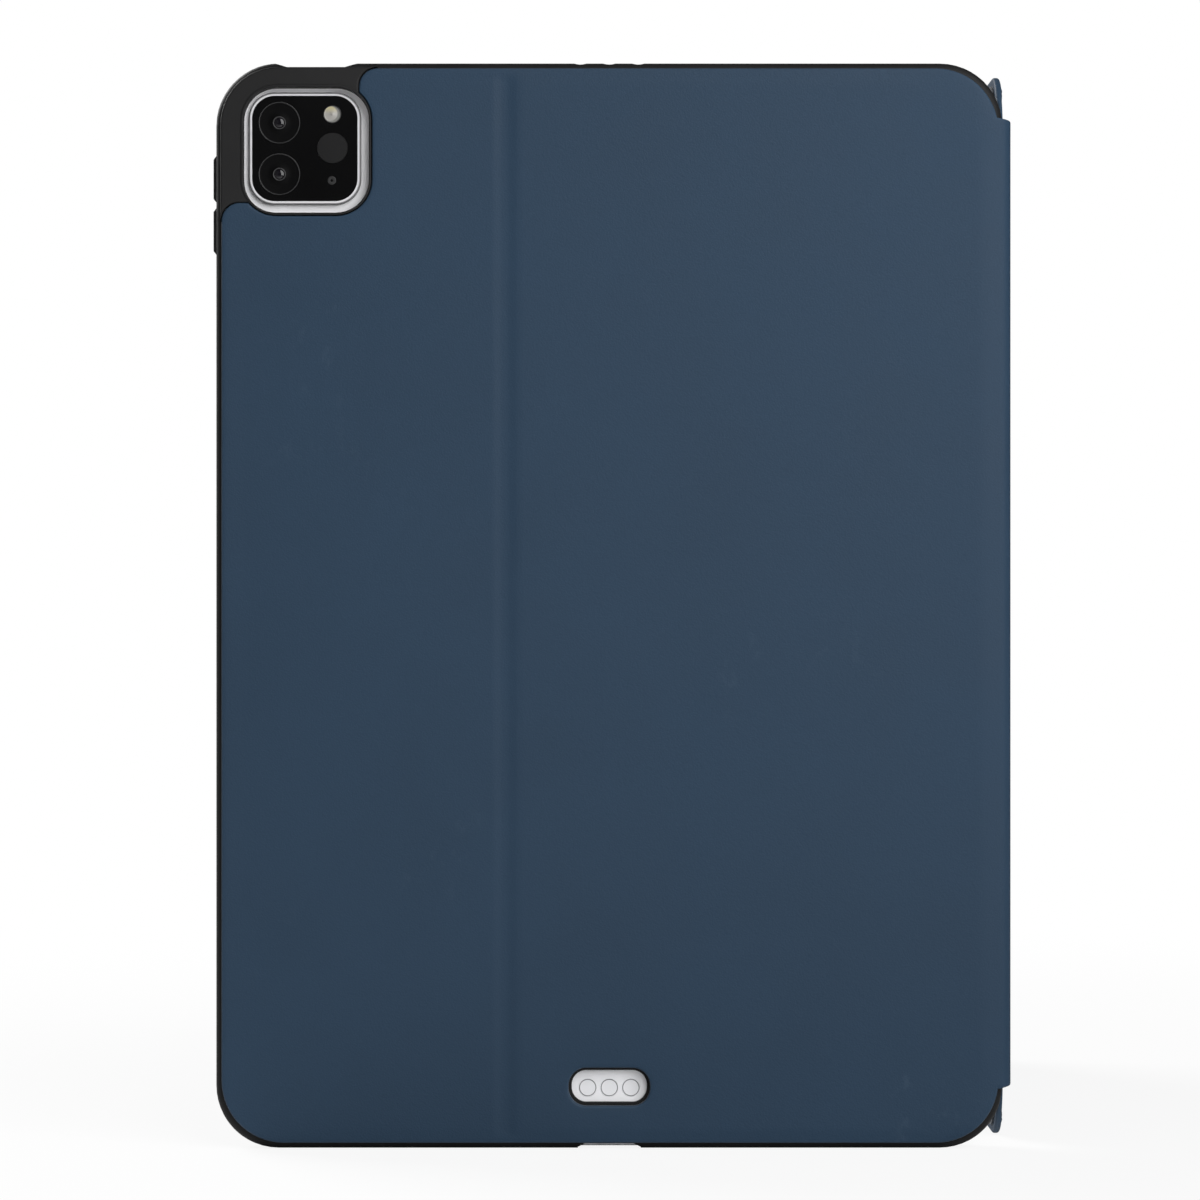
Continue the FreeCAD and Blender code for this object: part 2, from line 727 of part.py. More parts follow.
def camera_discs(grow, proud):
    """Lenses, flash and sensor window, in that order, as discs on the camera glass's seat."""
    face = PLINTH_FACE - CAMERA_GLASS_PROUD - proud
    places = [
        (-LENS_OUT, LENS_UP, LENS_RADIUS),
        (-LENS_OUT, -LENS_UP, LENS_RADIUS),
        (FLASH_OUT, FLASH_UP, FLASH_RADIUS),
        (SENSOR_OUT, SENSOR_UP, SENSOR_RADIUS),
    ]
    return [
        disc(on_back, CAMERA_X + out, CAMERA_Z + up, face, camera_seat(), radius + grow)
        for out, up, radius in places
    ]


def camera_glass():
    face = PLINTH_FACE - CAMERA_GLASS_PROUD
    outline = camera_square(CAMERA_GLASS_SIZE, CAMERA_GLASS_CORNER)
    return slab(on_back, face, camera_seat(), outline).cut(camera_discs(CAMERA_FIT, 1))


def panel_sheet(outer, inner, left, right, inset):
    """One layer of the back panel between two depths, cut to the tray's outline."""
    sheet = slab(on_back, outer, inner, tray_outline(inset))
    return sheet.common(block(left, outer, -1, right, inner, TRAY_HEIGHT + 1))


def fixed_skin():
    half = CREASE_WIDTH / 2
    end = CREASE_X - CREASE_SLIT
    ramp = CREASE_X - half + CREASE_RAMP
    profile = [
        (TRAY_LEFT, PANEL_FACE),
        (CREASE_X - half, PANEL_FACE),
        (ramp, CREASE_Y),
        (end, CREASE_Y),
        (end, CREASE_Y + SKIN),
        (ramp, CREASE_Y + SKIN),
        (CREASE_X - half, PANEL_FACE + SKIN),
        (TRAY_LEFT, PANEL_FACE + SKIN),
    ]
    sheet = upright(profile, 0, TRAY_HEIGHT)
    sheet = sheet.common(slab(on_back, PANEL_FACE - 1, TRAY_BACK, tray_outline(SKIN_INSET)))
    return sheet.cut(slab(on_back, PANEL_FACE - 1, TRAY_BACK, notch_outline(0)))


def fixed_board():
    edge = CREASE_X - CREASE_WIDTH / 2
    outer = PANEL_FACE + SKIN
    sheet = panel_sheet(outer, outer + BOARD, TRAY_LEFT, edge, BOARD_INSET)
    return sheet.cut(slab(on_back, outer - 1, TRAY_BACK, notch_outline(NOTCH_BOARD_BACK)))


def bonding_sheet():
    edge = CREASE_X - CREASE_WIDTH / 2
    outer = PANEL_FACE + SKIN + BOARD
    sheet = panel_sheet(outer, TRAY_BACK, TRAY_LEFT, edge, LINING_INSET)
    return sheet.cut(slab(on_back, outer - 1, TRAY_BACK + 1, notch_outline(NOTCH_CLEAR)))


def roll_sector(first, last):
    """The skin's quarter roll between the back panel and the spine, from one angle to another."""
    inner_radius = FOLD_ROLL - SKIN

    def place(radius, angle):
        return Vector(ROLL_X + radius * sin(angle), ROLL_Y - radius * cos(angle), SPINE_LOW)

    middle = (first + last) / 2
    outer = [place(FOLD_ROLL, angle) for angle in (first, middle, last)]
    inner = [place(inner_radius, angle) for angle in (last, middle, first)]
    edges = [
        Part.Arc(*outer).toShape(),
        Part.LineSegment(outer[2], inner[0]).toShape(),
        Part.Arc(*inner).toShape(),
        Part.LineSegment(inner[2], outer[0]).toShape(),
    ]
    return Part.Face(Part.Wire(edges)).extrude(Vector(0, 0, SPINE_HIGH - SPINE_LOW))


def stand_skin():
    half = CREASE_WIDTH / 2
    start = CREASE_X + CREASE_SLIT
    ramp = CREASE_X + half - CREASE_RAMP
    profile = [
        (ROLL_X, PANEL_FACE),
        (CREASE_X + half, PANEL_FACE),
        (ramp, CREASE_Y),
        (start, CREASE_Y),
        (start, CREASE_Y + SKIN),
        (ramp, CREASE_Y + SKIN),
        (CREASE_X + half, PANEL_FACE + SKIN),
        (ROLL_X, PANEL_FACE + SKIN),
    ]
    sheet = upright(profile, 0, TRAY_HEIGHT)
    corner = TRAY_CORNER - SKIN_INSET
    trim = rounded(TRAY_LEFT, SKIN_INSET, ROLL_X, TRAY_HEIGHT - SKIN_INSET, corner)
    sheet = sheet.common(slab(on_back, PANEL_FACE - 1, TRAY_BACK, trim))
    sheet = sheet.fuse(roll_sector(0, pi / 4 - FOLD_SLIT / FOLD_ROLL)).removeSplitter()
    return sheet.cut(slab(on_back, PANEL_FACE - 1, TRAY_BACK, window_outline(WINDOW_STEP)))


def stand_board():
    outer = PANEL_FACE + SKIN
    inner = outer + BOARD
    edge = CREASE_X + CREASE_WIDTH / 2
    sheet = panel_sheet(outer, inner, edge, TRAY_RIGHT, BOARD_INSET)
    sheet = sheet.cut(slab(on_back, outer - 1, inner + 1, window_outline(2 * WINDOW_STEP)))
    return sheet.cut(magnet_blocks(outer - 1, inner + 1, MAGNET_CLEAR))


def stand_magnets():
    outer = PANEL_FACE + SKIN
    return Part.makeCompound(magnet_blocks(outer, outer + BOARD, 0))


def stand_lining():
    outer = PANEL_FACE + SKIN + BOARD
    inner = outer + LINING
    edge = CREASE_X + CREASE_WIDTH / 2
    sheet = panel_sheet(outer, inner, edge, TRAY_RIGHT, LINING_INSET)
    return sheet.cut(slab(on_back, outer - 1, inner + 1, window_outline(WINDOW_STEP)))


def spine_skin():
    end = COVER_FOLD_Y - FOLD_GAP
    sheet = block(SPINE_FACE - SKIN, ROLL_Y, SPINE_LOW, SPINE_FACE, end, SPINE_HIGH)
    return sheet.fuse(roll_sector(pi / 4 + FOLD_SLIT / FOLD_ROLL, pi / 2)).removeSplitter()


def spine_layer(outer, inner, inset):
    """A layer under the spine's skin, between two distances from the spine's outer face."""
    return block(
        SPINE_FACE - inner,
        ROLL_Y,
        SPINE_LOW + inset,
        SPINE_FACE - outer,
        COVER_FOLD_Y - SPINE_LAYER_BACK,
        SPINE_HIGH - inset,
    )


def cover_skin():
    sheet = slab(on_deck, 0, SKIN, cover_outline(0))
    strip = slab(
        on_deck, 0, SKIN, rectangle(FOLD_GAP, SPINE_LOW, COVER_NEAR + TRAY_CORNER, SPINE_HIGH)
    )
    return sheet.fuse(strip).removeSplitter()


def cover_board():
    return slab(on_deck, SKIN, BASE_LEVEL, cover_outline(BOARD_INSET))


def cover_lining():
    sheet = slab(on_deck, BASE_LEVEL, BASE_LEVEL + LINING, cover_outline(LINING_INSET))
    return sheet.cut(
        slab(on_deck, BASE_LEVEL - 1, BASE_LEVEL + LINING + 1, module_outline(-MODULE_CLEAR))
    )


def charge_port_place():
    """The keyboard's charge port in X and Y, at the upper end of the battery strip."""
    level = FLOOR_LEVEL + PORT_HEIGHT / 2
    point = on_deck(STRIP_MIDDLE, MODULE_HIGH, level)
    return point.x, point.y


def keyboard_base():
    body = slab(on_deck, BASE_LEVEL, SEAT_LEVEL, module_outline(0))
    cavity = slab(on_deck, FLOOR_LEVEL, SEAT_LEVEL + 1, module_outline(BASE_WALL))
    x, y = charge_port_place()
    mouth = port_tube(
        (x, y),
        PORT_HEIGHT + 2 * PORT_CLEAR,
        PORT_WIDTH + 2 * PORT_CLEAR,
        PORT_HEIGHT / 2 - PORT_CLEAR,
        MODULE_HIGH - 2 * BASE_WALL,
        2 * BASE_WALL + 1,
    )
    return body.cut([cavity, mouth])


def charge_port():
    x, y = charge_port_place()
    return port_shell(x, y, PORT_HEIGHT, PORT_WIDTH, MODULE_HIGH - PORT_LENGTH)


def key_field(inset):
    """The outline of the sheets under the keys."""
    return rounded(
        KEYS_START - KEY_SPACING / 2 + inset,
        MODULE_LOW + BASE_WALL + inset,
        MODULE_FAR - BASE_WALL - inset,
        MODULE_HIGH - BASE_WALL - inset,
        KEY_CORNER,
    )


def trimmed_sheet(low, high, inset):
    """A sheet under the keys, trimmed to the base pan's round corners."""
    sheet = slab(on_deck, low, high, key_field(inset))
    return sheet.common(slab(on_deck, low, high, module_outline(BASE_WALL + inset)))


def dome_sheet():
    sheet = trimmed_sheet(MEMBRANE_LEVEL, SHEET_LEVEL, 2 * SHEET_CLEAR)
    domes = []
    for node, near, low, far, high in key_places():
        along = (near + far) / 2
        up = (low + high) / 2
        radius = min(DOME_RADIUS, (far - near) / 3)
        domes.append(disc(on_deck, along, up, MEMBRANE_LEVEL, DOME_LEVEL, radius))
    return sheet.fuse(domes).removeSplitter()


def switch_places(grow, travel):
    """The switch knob's outline on the deck, stretched upwards by a travel."""
    reach = SWITCH_KNOB_WIDTH / 2 + grow
    return rounded(
        STRIP_MIDDLE - reach,
        SWITCH_LOW - grow,
        STRIP_MIDDLE + reach,
        SWITCH_LOW + SWITCH_KNOB_LENGTH + travel + grow,
        reach / 2,
    )


def power_switch():
    knob = slab(on_deck, SEAT_LEVEL - SWITCH_CLEAR, DECK_LEVEL + SWITCH_PROUD, switch_places(0, 0))
    top = SEAT_LEVEL - SWITCH_CLEAR
    flange = slab(on_deck, top - SWITCH_FLANGE_THICK, top, switch_places(SWITCH_FLANGE, 0))
    face_x = SPINE_FACE - DECK_LEVEL - SWITCH_PROUD
    return soften(knob.fuse(flange).removeSplitter(), SWITCH_ROUND, "X", face_x)


def light_places():
    return [LIGHT_LOW + number * LIGHT_PITCH for number in range(LIGHT_COUNT)]


def status_lights():
    low = FLOOR_LEVEL + PCB_THICK
    pipes = [disc(on_deck, STRIP_MIDDLE, z, low, DECK_LEVEL, LIGHT_RADIUS) for z in light_places()]
    return Part.makeCompound(pipes)


def keyboard_bezel():
    deck = slab(on_deck, SEAT_LEVEL, RIM_LEVEL, module_outline(0))
    well = slab(on_deck, DECK_LEVEL, RIM_LEVEL + 1, module_outline(BEZEL_RIM))
    trough_low = MODULE_LOW + GROOVE_END
    trough_high = MODULE_HIGH - GROOVE_END
    under = rectangle(
        GROOVE_NEAR - GROOVE_WALL,
        trough_low - GROOVE_WALL,
        GROOVE_FAR + GROOVE_WALL,
        trough_high + GROOVE_WALL,
    )
    trough = rectangle(GROOVE_NEAR, trough_low, GROOVE_FAR, trough_high)
    body = deck.cut(well).fuse(slab(on_deck, GROOVE_LOW, SEAT_LEVEL, under)).removeSplitter()
    cuts = [slab(on_deck, GROOVE_LOW + GROOVE_FLOOR, RIM_LEVEL, trough)]
    for place in key_places():
        cuts.append(
            slab(on_deck, SEAT_LEVEL - 1, RIM_LEVEL, key_outline(place, KEY_CLEAR))
        )
    for z in light_places():
        cuts.append(
            disc(on_deck, STRIP_MIDDLE, z, SEAT_LEVEL - 1, RIM_LEVEL, LIGHT_RADIUS + LIGHT_CLEAR)
        )
    cuts.append(
        slab(on_deck, SEAT_LEVEL - 1, RIM_LEVEL, switch_places(SWITCH_CLEAR, SWITCH_TRAVEL))
    )
    return soften(body.cut(cuts), BEZEL_ROUND, "X", SPINE_FACE - RIM_LEVEL)


def groove_magnets():
    along = (GROOVE_NEAR + GROOVE_FAR) / 2
    bars = []
    for number in range(GROOVE_MAGNET_COUNT):
        z = MIDDLE_Z + (number - (GROOVE_MAGNET_COUNT - 1) / 2) * GROOVE_MAGNET_PITCH
        outline = rounded_about(
            along, z, GROOVE_MAGNET_WIDTH, GROOVE_MAGNET_LENGTH, GROOVE_MAGNET_WIDTH / 6
        )
        bars.append(slab(on_deck, GROOVE_LOW - GROOVE_MAGNET_THICK, GROOVE_LOW, outline))
    return Part.makeCompound(bars)


def strip_slab(low_z, high_z, thick):
    """A flat piece on the base pan's floor, in the strip beside the groove."""
    outline = rounded(
        STRIP_MIDDLE - PACK_WIDTH / 2, low_z, STRIP_MIDDLE + PACK_WIDTH / 2, high_z, KEY_CORNER
    )
    return slab(on_deck, FLOOR_LEVEL, FLOOR_LEVEL + thick, outline)


def keycaps():
    """One shape for each key node, with the keys of a row as separate solids."""
    groups = {}
    for place in key_places():
        cap = slab(on_deck, KEY_LOW, KEY_HIGH, key_outline(place, 0))
        cap = soften(cap, KEY_ROUND, "X", SPINE_FACE - KEY_HIGH)
        groups.setdefault(place[0], []).append(cap)
    return {node: Part.makeCompound(caps) for node, caps in groups.items()}


lens_upper, lens_lower, flash, sensor = camera_discs(0, LENS_PROUD)
pieces = {
    "shell_tray": shell_tray(),
    "keeper_strips": keeper_strips(),
    "volume_up_cover": volume_cover(0),
    "volume_down_cover": volume_cover(1),
    "tablet_volume_up_key": volume_key_block(0, 0, 0),
    "tablet_volume_down_key": volume_key_block(1, 0, 0),
    "tablet_top_button": tablet_top_button(),
    "tablet_housing": tablet_housing(),
    "tablet_display_glass": tablet_display_glass(),
    "tablet_battery": tablet_battery(),
    "tablet_charge_port": port_shell(0, 0, PORT_WIDTH, PORT_HEIGHT, TABLET_BOTTOM),
    "contact_pads": contact_pads(),
    "camera_plinth": camera_plinth(),
    "camera_glass": camera_glass(),
    "camera_lenses": Part.makeCompound([lens_upper, lens_lower]),
    "camera_flash": flash,
    "depth_sensor_window": sensor,
    "fixed_skin": fixed_skin(),
    "fixed_board": fixed_board(),
    "bonding_sheet": bonding_sheet(),
    "stand_skin": stand_skin(),
    "stand_board": stand_board(),
    "stand_lining": stand_lining(),
    "stand_magnets": stand_magnets(),
    "spine_skin": spine_skin(),
    "spine_stiffener": spine_layer(SKIN, SKIN + SPINE_STIFFENER, LINING),
    "spine_lining": spine_layer(SKIN + SPINE_STIFFENER, SPINE_THICK, LINING),
    "cover_skin": cover_skin(),
    "cover_board": cover_board(),
    "cover_lining": cover_lining(),
    "keyboard_base": keyboard_base(),
    "keyboard_bezel": keyboard_bezel(),
    "backplate": trimmed_sheet(FLOOR_LEVEL, PLATE_LEVEL, SHEET_CLEAR),
    "membrane": trimmed_sheet(PLATE_LEVEL, MEMBRANE_LEVEL, SHEET_CLEAR),
    "dome_sheet": dome_sheet(),
    "groove_magnets": groove_magnets(),
    "battery_pack": strip_slab(PACK_LOW, PACK_HIGH, PACK_THICK),
    "controller_board": strip_slab(PCB_LOW, PCB_HIGH, PCB_THICK),
    "charge_port": charge_port(),
    "status_lights": status_lights(),
    "power_switch": power_switch(),
}
pieces.update(keycaps())

os.makedirs("parts", exist_ok=True)
for node, shape in pieces.items():
    shape.exportStep("parts/" + node + ".step")
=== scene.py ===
import json
from math import ceil, cos, pi, radians, sin

import bmesh
import bpy
import numpy as np
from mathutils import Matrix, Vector
from mathutils.geometry import delaunay_2d_cdt


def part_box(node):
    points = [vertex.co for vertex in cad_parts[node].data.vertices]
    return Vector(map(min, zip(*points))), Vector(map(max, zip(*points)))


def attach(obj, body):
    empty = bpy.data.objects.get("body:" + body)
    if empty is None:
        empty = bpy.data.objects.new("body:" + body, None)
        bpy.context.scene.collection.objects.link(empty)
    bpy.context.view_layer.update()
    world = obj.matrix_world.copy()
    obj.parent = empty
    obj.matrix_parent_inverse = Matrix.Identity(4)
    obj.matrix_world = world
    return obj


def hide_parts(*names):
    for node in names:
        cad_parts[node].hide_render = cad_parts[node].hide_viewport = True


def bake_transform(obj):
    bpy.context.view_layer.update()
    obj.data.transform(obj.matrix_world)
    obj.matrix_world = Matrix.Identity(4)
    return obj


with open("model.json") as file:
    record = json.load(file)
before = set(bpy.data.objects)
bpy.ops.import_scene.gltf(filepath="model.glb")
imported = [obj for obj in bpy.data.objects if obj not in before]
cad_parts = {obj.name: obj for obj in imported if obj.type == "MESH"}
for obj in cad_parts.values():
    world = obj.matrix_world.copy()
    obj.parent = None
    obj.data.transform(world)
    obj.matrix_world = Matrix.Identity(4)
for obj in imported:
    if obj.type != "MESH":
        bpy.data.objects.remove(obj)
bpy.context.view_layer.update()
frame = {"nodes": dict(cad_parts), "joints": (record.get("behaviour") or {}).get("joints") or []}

# Tablet housing: a bead-blasted, clear-anodised aluminium tub that the tray grips by its edges.
# The same finish is on its side buttons, on the three contact pads on its back and on its camera plinth,
# whose darker band round its outer edge is painted shade.
# Every rigid finish is a colour that drifts a little, over a grain as fine as its process leaves.
MM = 0.001
NOISE_SPAN = (0.3, 0.7)
GRAIN_IN_GLOSS = 0.5
BLAST_GRAIN = 0.12
BLAST_SPAN = (0.2, 0.8)
BLAST_ROUGH = (0.36, 0.5)
PAD_LINE = (0.22, 0.08)


def new_group(name, inputs, outputs):
    """An empty shader group: a position, inputs that are numbers, or vectors where None, and outputs."""
    group = bpy.data.node_groups.new(name, "ShaderNodeTree")
    for label, value in {"Position": None, **inputs}.items():
        kind = "NodeSocketVector" if value is None else "NodeSocketFloat"
        socket = group.interface.new_socket(label, in_out="INPUT", socket_type=kind)
        if value is not None:
            socket.default_value = value
    for label in outputs:
        group.interface.new_socket(label, in_out="OUTPUT", socket_type="NodeSocketFloat")
    return group, group.nodes.new("NodeGroupInput").outputs, group.nodes.new("NodeGroupOutput").inputs


def add(tree, kind, links=None, **settings):
    """A node with its settings; links feed its inputs, by name or number, from sockets or plain values."""
    node = tree.nodes.new(kind)
    for label, value in settings.items():
        setattr(node, label, value)
    for label, source in (links or {}).items():
        if isinstance(source, bpy.types.NodeSocket):
            tree.links.new(source, node.inputs[label])
        else:
            node.inputs[label].default_value = source
    return node


def arithmetic(tree, operation, first, second=0.0, third=0.0):
    links = {0: first, 1: second, 2: third}
    return add(tree, "ShaderNodeMath", links, operation=operation).outputs[0]


def length_of(tree, vector):
    return add(tree, "ShaderNodeVectorMath", {0: vector}, operation="LENGTH").outputs["Value"]


def stretch(tree, value, low, high, to_low=0.0, to_high=1.0, smooth=False):
    """A value taken from one range to another."""
    links = {"Value": value, "From Min": low, "From Max": high, "To Min": to_low, "To Max": to_high}
    kind = "SMOOTHSTEP" if smooth else "LINEAR"
    return add(tree, "ShaderNodeMapRange", links, interpolation_type=kind).outputs[0]


sizes = {"Size": 0.3 * MM, "Cloud Size": 20 * MM}
grain_group, entry, exit_ = new_group("fine_grain", sizes, ["Height", "Cloud"])
for size, detail, label in (("Size", 2.0, "Height"), ("Cloud Size", 3.0, "Cloud")):
    scale = arithmetic(grain_group, "DIVIDE", 1.0, entry[size])
    links = {"Vector": entry["Position"], "Scale": scale, "Detail": detail}
    noise = add(grain_group, "ShaderNodeTexNoise", links)
    grain_group.links.new(noise.outputs[0], exit_[label])


def placed(group, tree, position, **sizes):
    """A shared effect placed in a material with its own sizes; gives back its outputs."""
    links = {label.replace("_", " ").title(): size for label, size in sizes.items()}
    return add(tree, "ShaderNodeGroup", {"Position": position, **links}, node_tree=group).outputs


def start_finish(name, **plain):
    """A material with its plain shader values set; gives back its tree, its shader and Object position."""
    material = bpy.data.materials.new(name)
    material.use_nodes = True
    tree = material.node_tree
    shader = tree.nodes["Principled BSDF"]
    for label, value in plain.items():
        label = label.replace("_", " ").title().replace("Specular", "Specular IOR Level")
        shader.inputs[label].default_value = value
    return material, tree, shader, add(tree, "ShaderNodeTexCoord").outputs["Object"]


def feed(shader, label, source):
    shader.id_data.links.new(source, shader.inputs[label])


def tint(color, share):
    return tuple(min(1.0, part * share) for part in color) + (1.0,)


def blend_colors(tree, share, first, second):
    links = {"Factor": share, 6: first, 7: second}
    return add(tree, "ShaderNodeMix", links, data_type="RGBA").outputs[2]


def bump(tree, shader, height, depth):
    node = add(tree, "ShaderNodeBump", {"Height": height, "Distance": depth * MM, "Strength": 1.0})
    feed(shader, "Normal", node.outputs["Normal"])


def grained(name, color, rough, grain, deep, cloud=20.0, drift=0.12, rough_drift=0.06, **plain):
    """A moulded, cast or rolled finish: colour and roughness drift with the cloud, the grain is bump."""
    material, tree, shader, position = start_finish(name, **plain)
    surface = placed(grain_group, tree, position, size=grain * MM, cloud_size=cloud * MM)
    clouds = stretch(tree, surface["Cloud"], *NOISE_SPAN)
    shade = blend_colors(tree, clouds, tint(color, 1 - drift), tint(color, 1 + drift))
    feed(shader, "Base Color", shade)
    mixed = arithmetic(tree, "MULTIPLY_ADD", surface["Height"], GRAIN_IN_GLOSS, clouds)
    gloss = stretch(tree, mixed, 0.0, 1 + GRAIN_IN_GLOSS, rough - rough_drift, rough + rough_drift)
    feed(shader, "Roughness", gloss)
    bump(tree, shader, surface["Height"], deep)
    return material


def blasted(tree, shader, position):
    """A roughness that varies as finely as bead blasting leaves it."""
    surface = placed(grain_group, tree, position, size=BLAST_GRAIN * MM)
    gloss = stretch(tree, surface["Height"], *BLAST_SPAN, *BLAST_ROUGH)
    feed(shader, "Roughness", gloss)


def dress(material, *nodes):
    """Gives CAD nodes their finish."""
    for node in nodes:
        for slot in frame["nodes"][node].material_slots:
            slot.material = material


aluminium = grained(
    "anodised_aluminium", (0.92, 0.92, 0.94), rough=0.45, grain=0.12, deep=0.008, drift=0.03, metallic=0.15
)
dress(aluminium, "tablet_housing", "tablet_volume_up_key", "tablet_volume_down_key", "tablet_top_button")
contact_finish, tree, shader, position = start_finish("contact_pad_aluminium", metallic=0.15)
low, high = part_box("contact_pads")
pad_radius = (high.z - low.z) / 2
pad_pitch = (high.x - low.x) / 2 - pad_radius
around = add(tree, "ShaderNodeSeparateXYZ", {0: position}).outputs
up = arithmetic(tree, "SUBTRACT", around["Z"], (low.z + high.z) / 2)
across = arithmetic(tree, "WRAP", around["X"], pad_pitch / 2, -pad_pitch / 2)
spot = add(tree, "ShaderNodeCombineXYZ", {"X": across, "Z": up}).outputs[0]
line_from, line_to = (pad_radius - inset * MM for inset in PAD_LINE)
line_share = stretch(tree, length_of(tree, spot), line_from, line_to, smooth=True)
shade = blend_colors(tree, line_share, (0.86, 0.86, 0.88, 1), (0.2, 0.2, 0.21, 1))
feed(shader, "Base Color", shade)
blasted(tree, shader, position)
dress(contact_finish, "contact_pads")
cell_foil = grained("pouch_foil", (0.55, 0.55, 0.57), rough=0.35, grain=0.5, deep=0.03, metallic=0.9)
dress(cell_foil, "tablet_battery", "battery_pack")
port_steel = grained("drawn_steel", (0.55, 0.55, 0.56), rough=0.3, grain=0.2, deep=0.01, metallic=1.0)
dress(port_steel, "tablet_charge_port", "charge_port")

# Display: one sheet of cover glass with a black printed border round the dark panel.
# It is bonded into the housing and lies just below the tray's lip.
DISPLAY_BORDER = 8.4
DISPLAY_CORNER = 5.0
PANEL_BLUR = 0.1
SMEAR_SCALE = 40.0
SMEAR_SPAN = (0.3, 0.8)
SMEAR_ROUGH = (0.04, 0.14)

sizes = {"Centre": None, "Half Size": None, "Corner": DISPLAY_CORNER * MM}
panel_group, entry, exit_ = new_group("rounded_panel", sizes, ["Inside"])
links = {0: entry["Position"], 1: entry["Centre"]}
node = add(panel_group, "ShaderNodeVectorMath", links, operation="SUBTRACT")
for operation, second in (("ABSOLUTE", None), ("SUBTRACT", "Half Size"), ("MAXIMUM", None)):
    links = {0: node.outputs[0]}
    if second:
        links[1] = entry[second]
    node = add(panel_group, "ShaderNodeVectorMath", links, operation=operation)
reach = length_of(panel_group, node.outputs[0])
over = arithmetic(panel_group, "SUBTRACT", reach, entry["Corner"])
inside = stretch(panel_group, over, PANEL_BLUR * MM, -PANEL_BLUR * MM)
panel_group.links.new(inside, exit_["Inside"])


def panel_mask(tree, position, node, border, corner):
    """1 on a rounded rectangle that lies a border in from the edges of a CAD node, seen along Y."""
    low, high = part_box(node)
    half = (high - low) / 2
    inset = (border + corner) * MM
    half_size = (half.x - inset, half.y, half.z - inset)
    sizes = {"centre": (low + high) / 2, "half_size": half_size, "corner": corner * MM}
    return placed(panel_group, tree, position, **sizes)["Inside"]


display, tree, shader, position = start_finish("display_glass", coat_weight=0.6, coat_roughness=0.02)
lit_area = panel_mask(tree, position, "tablet_display_glass", DISPLAY_BORDER, DISPLAY_CORNER)
shade = blend_colors(tree, lit_area, (0.004, 0.004, 0.004, 1), (0.011, 0.012, 0.015, 1))
feed(shader, "Base Color", shade)
smear = add(tree, "ShaderNodeTexNoise", {"Vector": position, "Scale": SMEAR_SCALE, "Detail": 4.0})
feed(shader, "Roughness", stretch(tree, smear.outputs[0], *SMEAR_SPAN, *SMEAR_ROUGH))
dress(display, "tablet_display_glass")

# Camera group: black glass in the plinth with two lenses, a flash, a sensor window and a microphone.
# The lenses are turned barrels: a thin bright ring, a black stepped cone and a coated front element.
# The flash is a moulded diffuser with ring-shaped ridges, and the microphone a small dished mesh.
ROUND_STEPS = 64
SEAT = -0.8
PLINTH_PAINTED_SHADE_BAND = 0.4
PLINTH_CORNER = 5.65
FLASH_WARM = 1.7
FLASH_BRIGHT_SPOT = (-0.5, 0.0, 0.15)
FLASH_PAINTED_SHADOW = (1.6, 1.85)
FLASH_RIM = 0.25
FLASH_RIDGES = 5
RIDGE_FOOT = -0.14
RIDGE_TOP = -0.02
RIDGE_RISE = 0.02
RIDGE_TAPER = 0.93
RIDGE_STEP = 0.05
MICROPHONE_X = -64.15
MICROPHONE_Z = 223.9
DISH_BACK = ((0, -0.05), (1.0, -0.05))
DISH_FACE = ((1.0, 0.01), (0.92, 0.03), (0.6, 0.02), (0.3, 0.0), (0, -0.005))


def box_mm(node):
    """The corners of a CAD node's box, in millimetres."""
    return [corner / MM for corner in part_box(node)]


def add_piece(name, mesh, finishes):
    """A new object from a bmesh, at the origin, with its finishes."""
    data = bpy.data.meshes.new(name)
    mesh.to_mesh(data)
    mesh.free()
    for finish in finishes:
        data.materials.append(finish)
    piece = bpy.data.objects.new(name, data)
    bpy.context.scene.collection.objects.link(piece)
    return piece


def turned(name, profile, centres, finishes):
    """Bodies turned about -Y; the profile gives radius, height out of the glass and finish number."""
    mesh = bmesh.new()
    for x, face, z in centres:
        rings = []
        for radius, out, _ in profile:
            turns = [2 * pi * step / ROUND_STEPS for step in range(ROUND_STEPS if radius else 1)]
            spots = [(x + radius * cos(turn), face - out, z + radius * sin(turn)) for turn in turns]
            rings.append([mesh.verts.new(Vector(spot) * MM) for spot in spots])
        for number, (first, second) in enumerate(zip(rings, rings[1:])):
            for step in range(ROUND_STEPS):
                after = (step + 1) % ROUND_STEPS
                corners = [first[step % len(first)], second[step % len(second)]]
                corners += [second[after % len(second)], first[after % len(first)]]
                patch = mesh.faces.new(list(dict.fromkeys(corners)))
                patch.material_index = profile[number + 1][2]
                patch.smooth = True
    bmesh.ops.recalc_face_normals(mesh, faces=mesh.faces)
    return add_piece(name, mesh, finishes)


# The plinth is darker in a band round its outer edge: painted shade in place of its wall in shade. Its top
# by the glass stays light.
plinth_painted_shade_finish, tree, shader, position = start_finish("plinth_aluminium_painted_shade", metallic=0.15)
rim = panel_mask(tree, position, "camera_plinth", PLINTH_PAINTED_SHADE_BAND, PLINTH_CORNER)
shade = blend_colors(tree, rim, (0.2, 0.2, 0.205, 1), (0.72, 0.72, 0.74, 1))
feed(shader, "Base Color", shade)
blasted(tree, shader, position)
dress(plinth_painted_shade_finish, "camera_plinth")
camera_black = grained(
    "camera_glass_black", (0.0018, 0.0018, 0.002), rough=0.1, grain=2.0, deep=0.001, specular=0.4
)
dress(camera_black, "camera_glass")
sensor_smoke = grained(
    "sensor_window_smoke", (0.0062, 0.0062, 0.0066), rough=0.45, grain=0.3, deep=0.003, specular=0.2
)
dress(sensor_smoke, "depth_sensor_window")
lens_ring = grained(
    "lens_ring_anodised", (0.024, 0.024, 0.025), rough=0.45, grain=0.1, deep=0.004, metallic=0.3
)
lens_barrel = grained(
    "lens_barrel_black", (0.0014, 0.0014, 0.0016), rough=0.5, grain=0.15, deep=0.001, specular=0.06
)
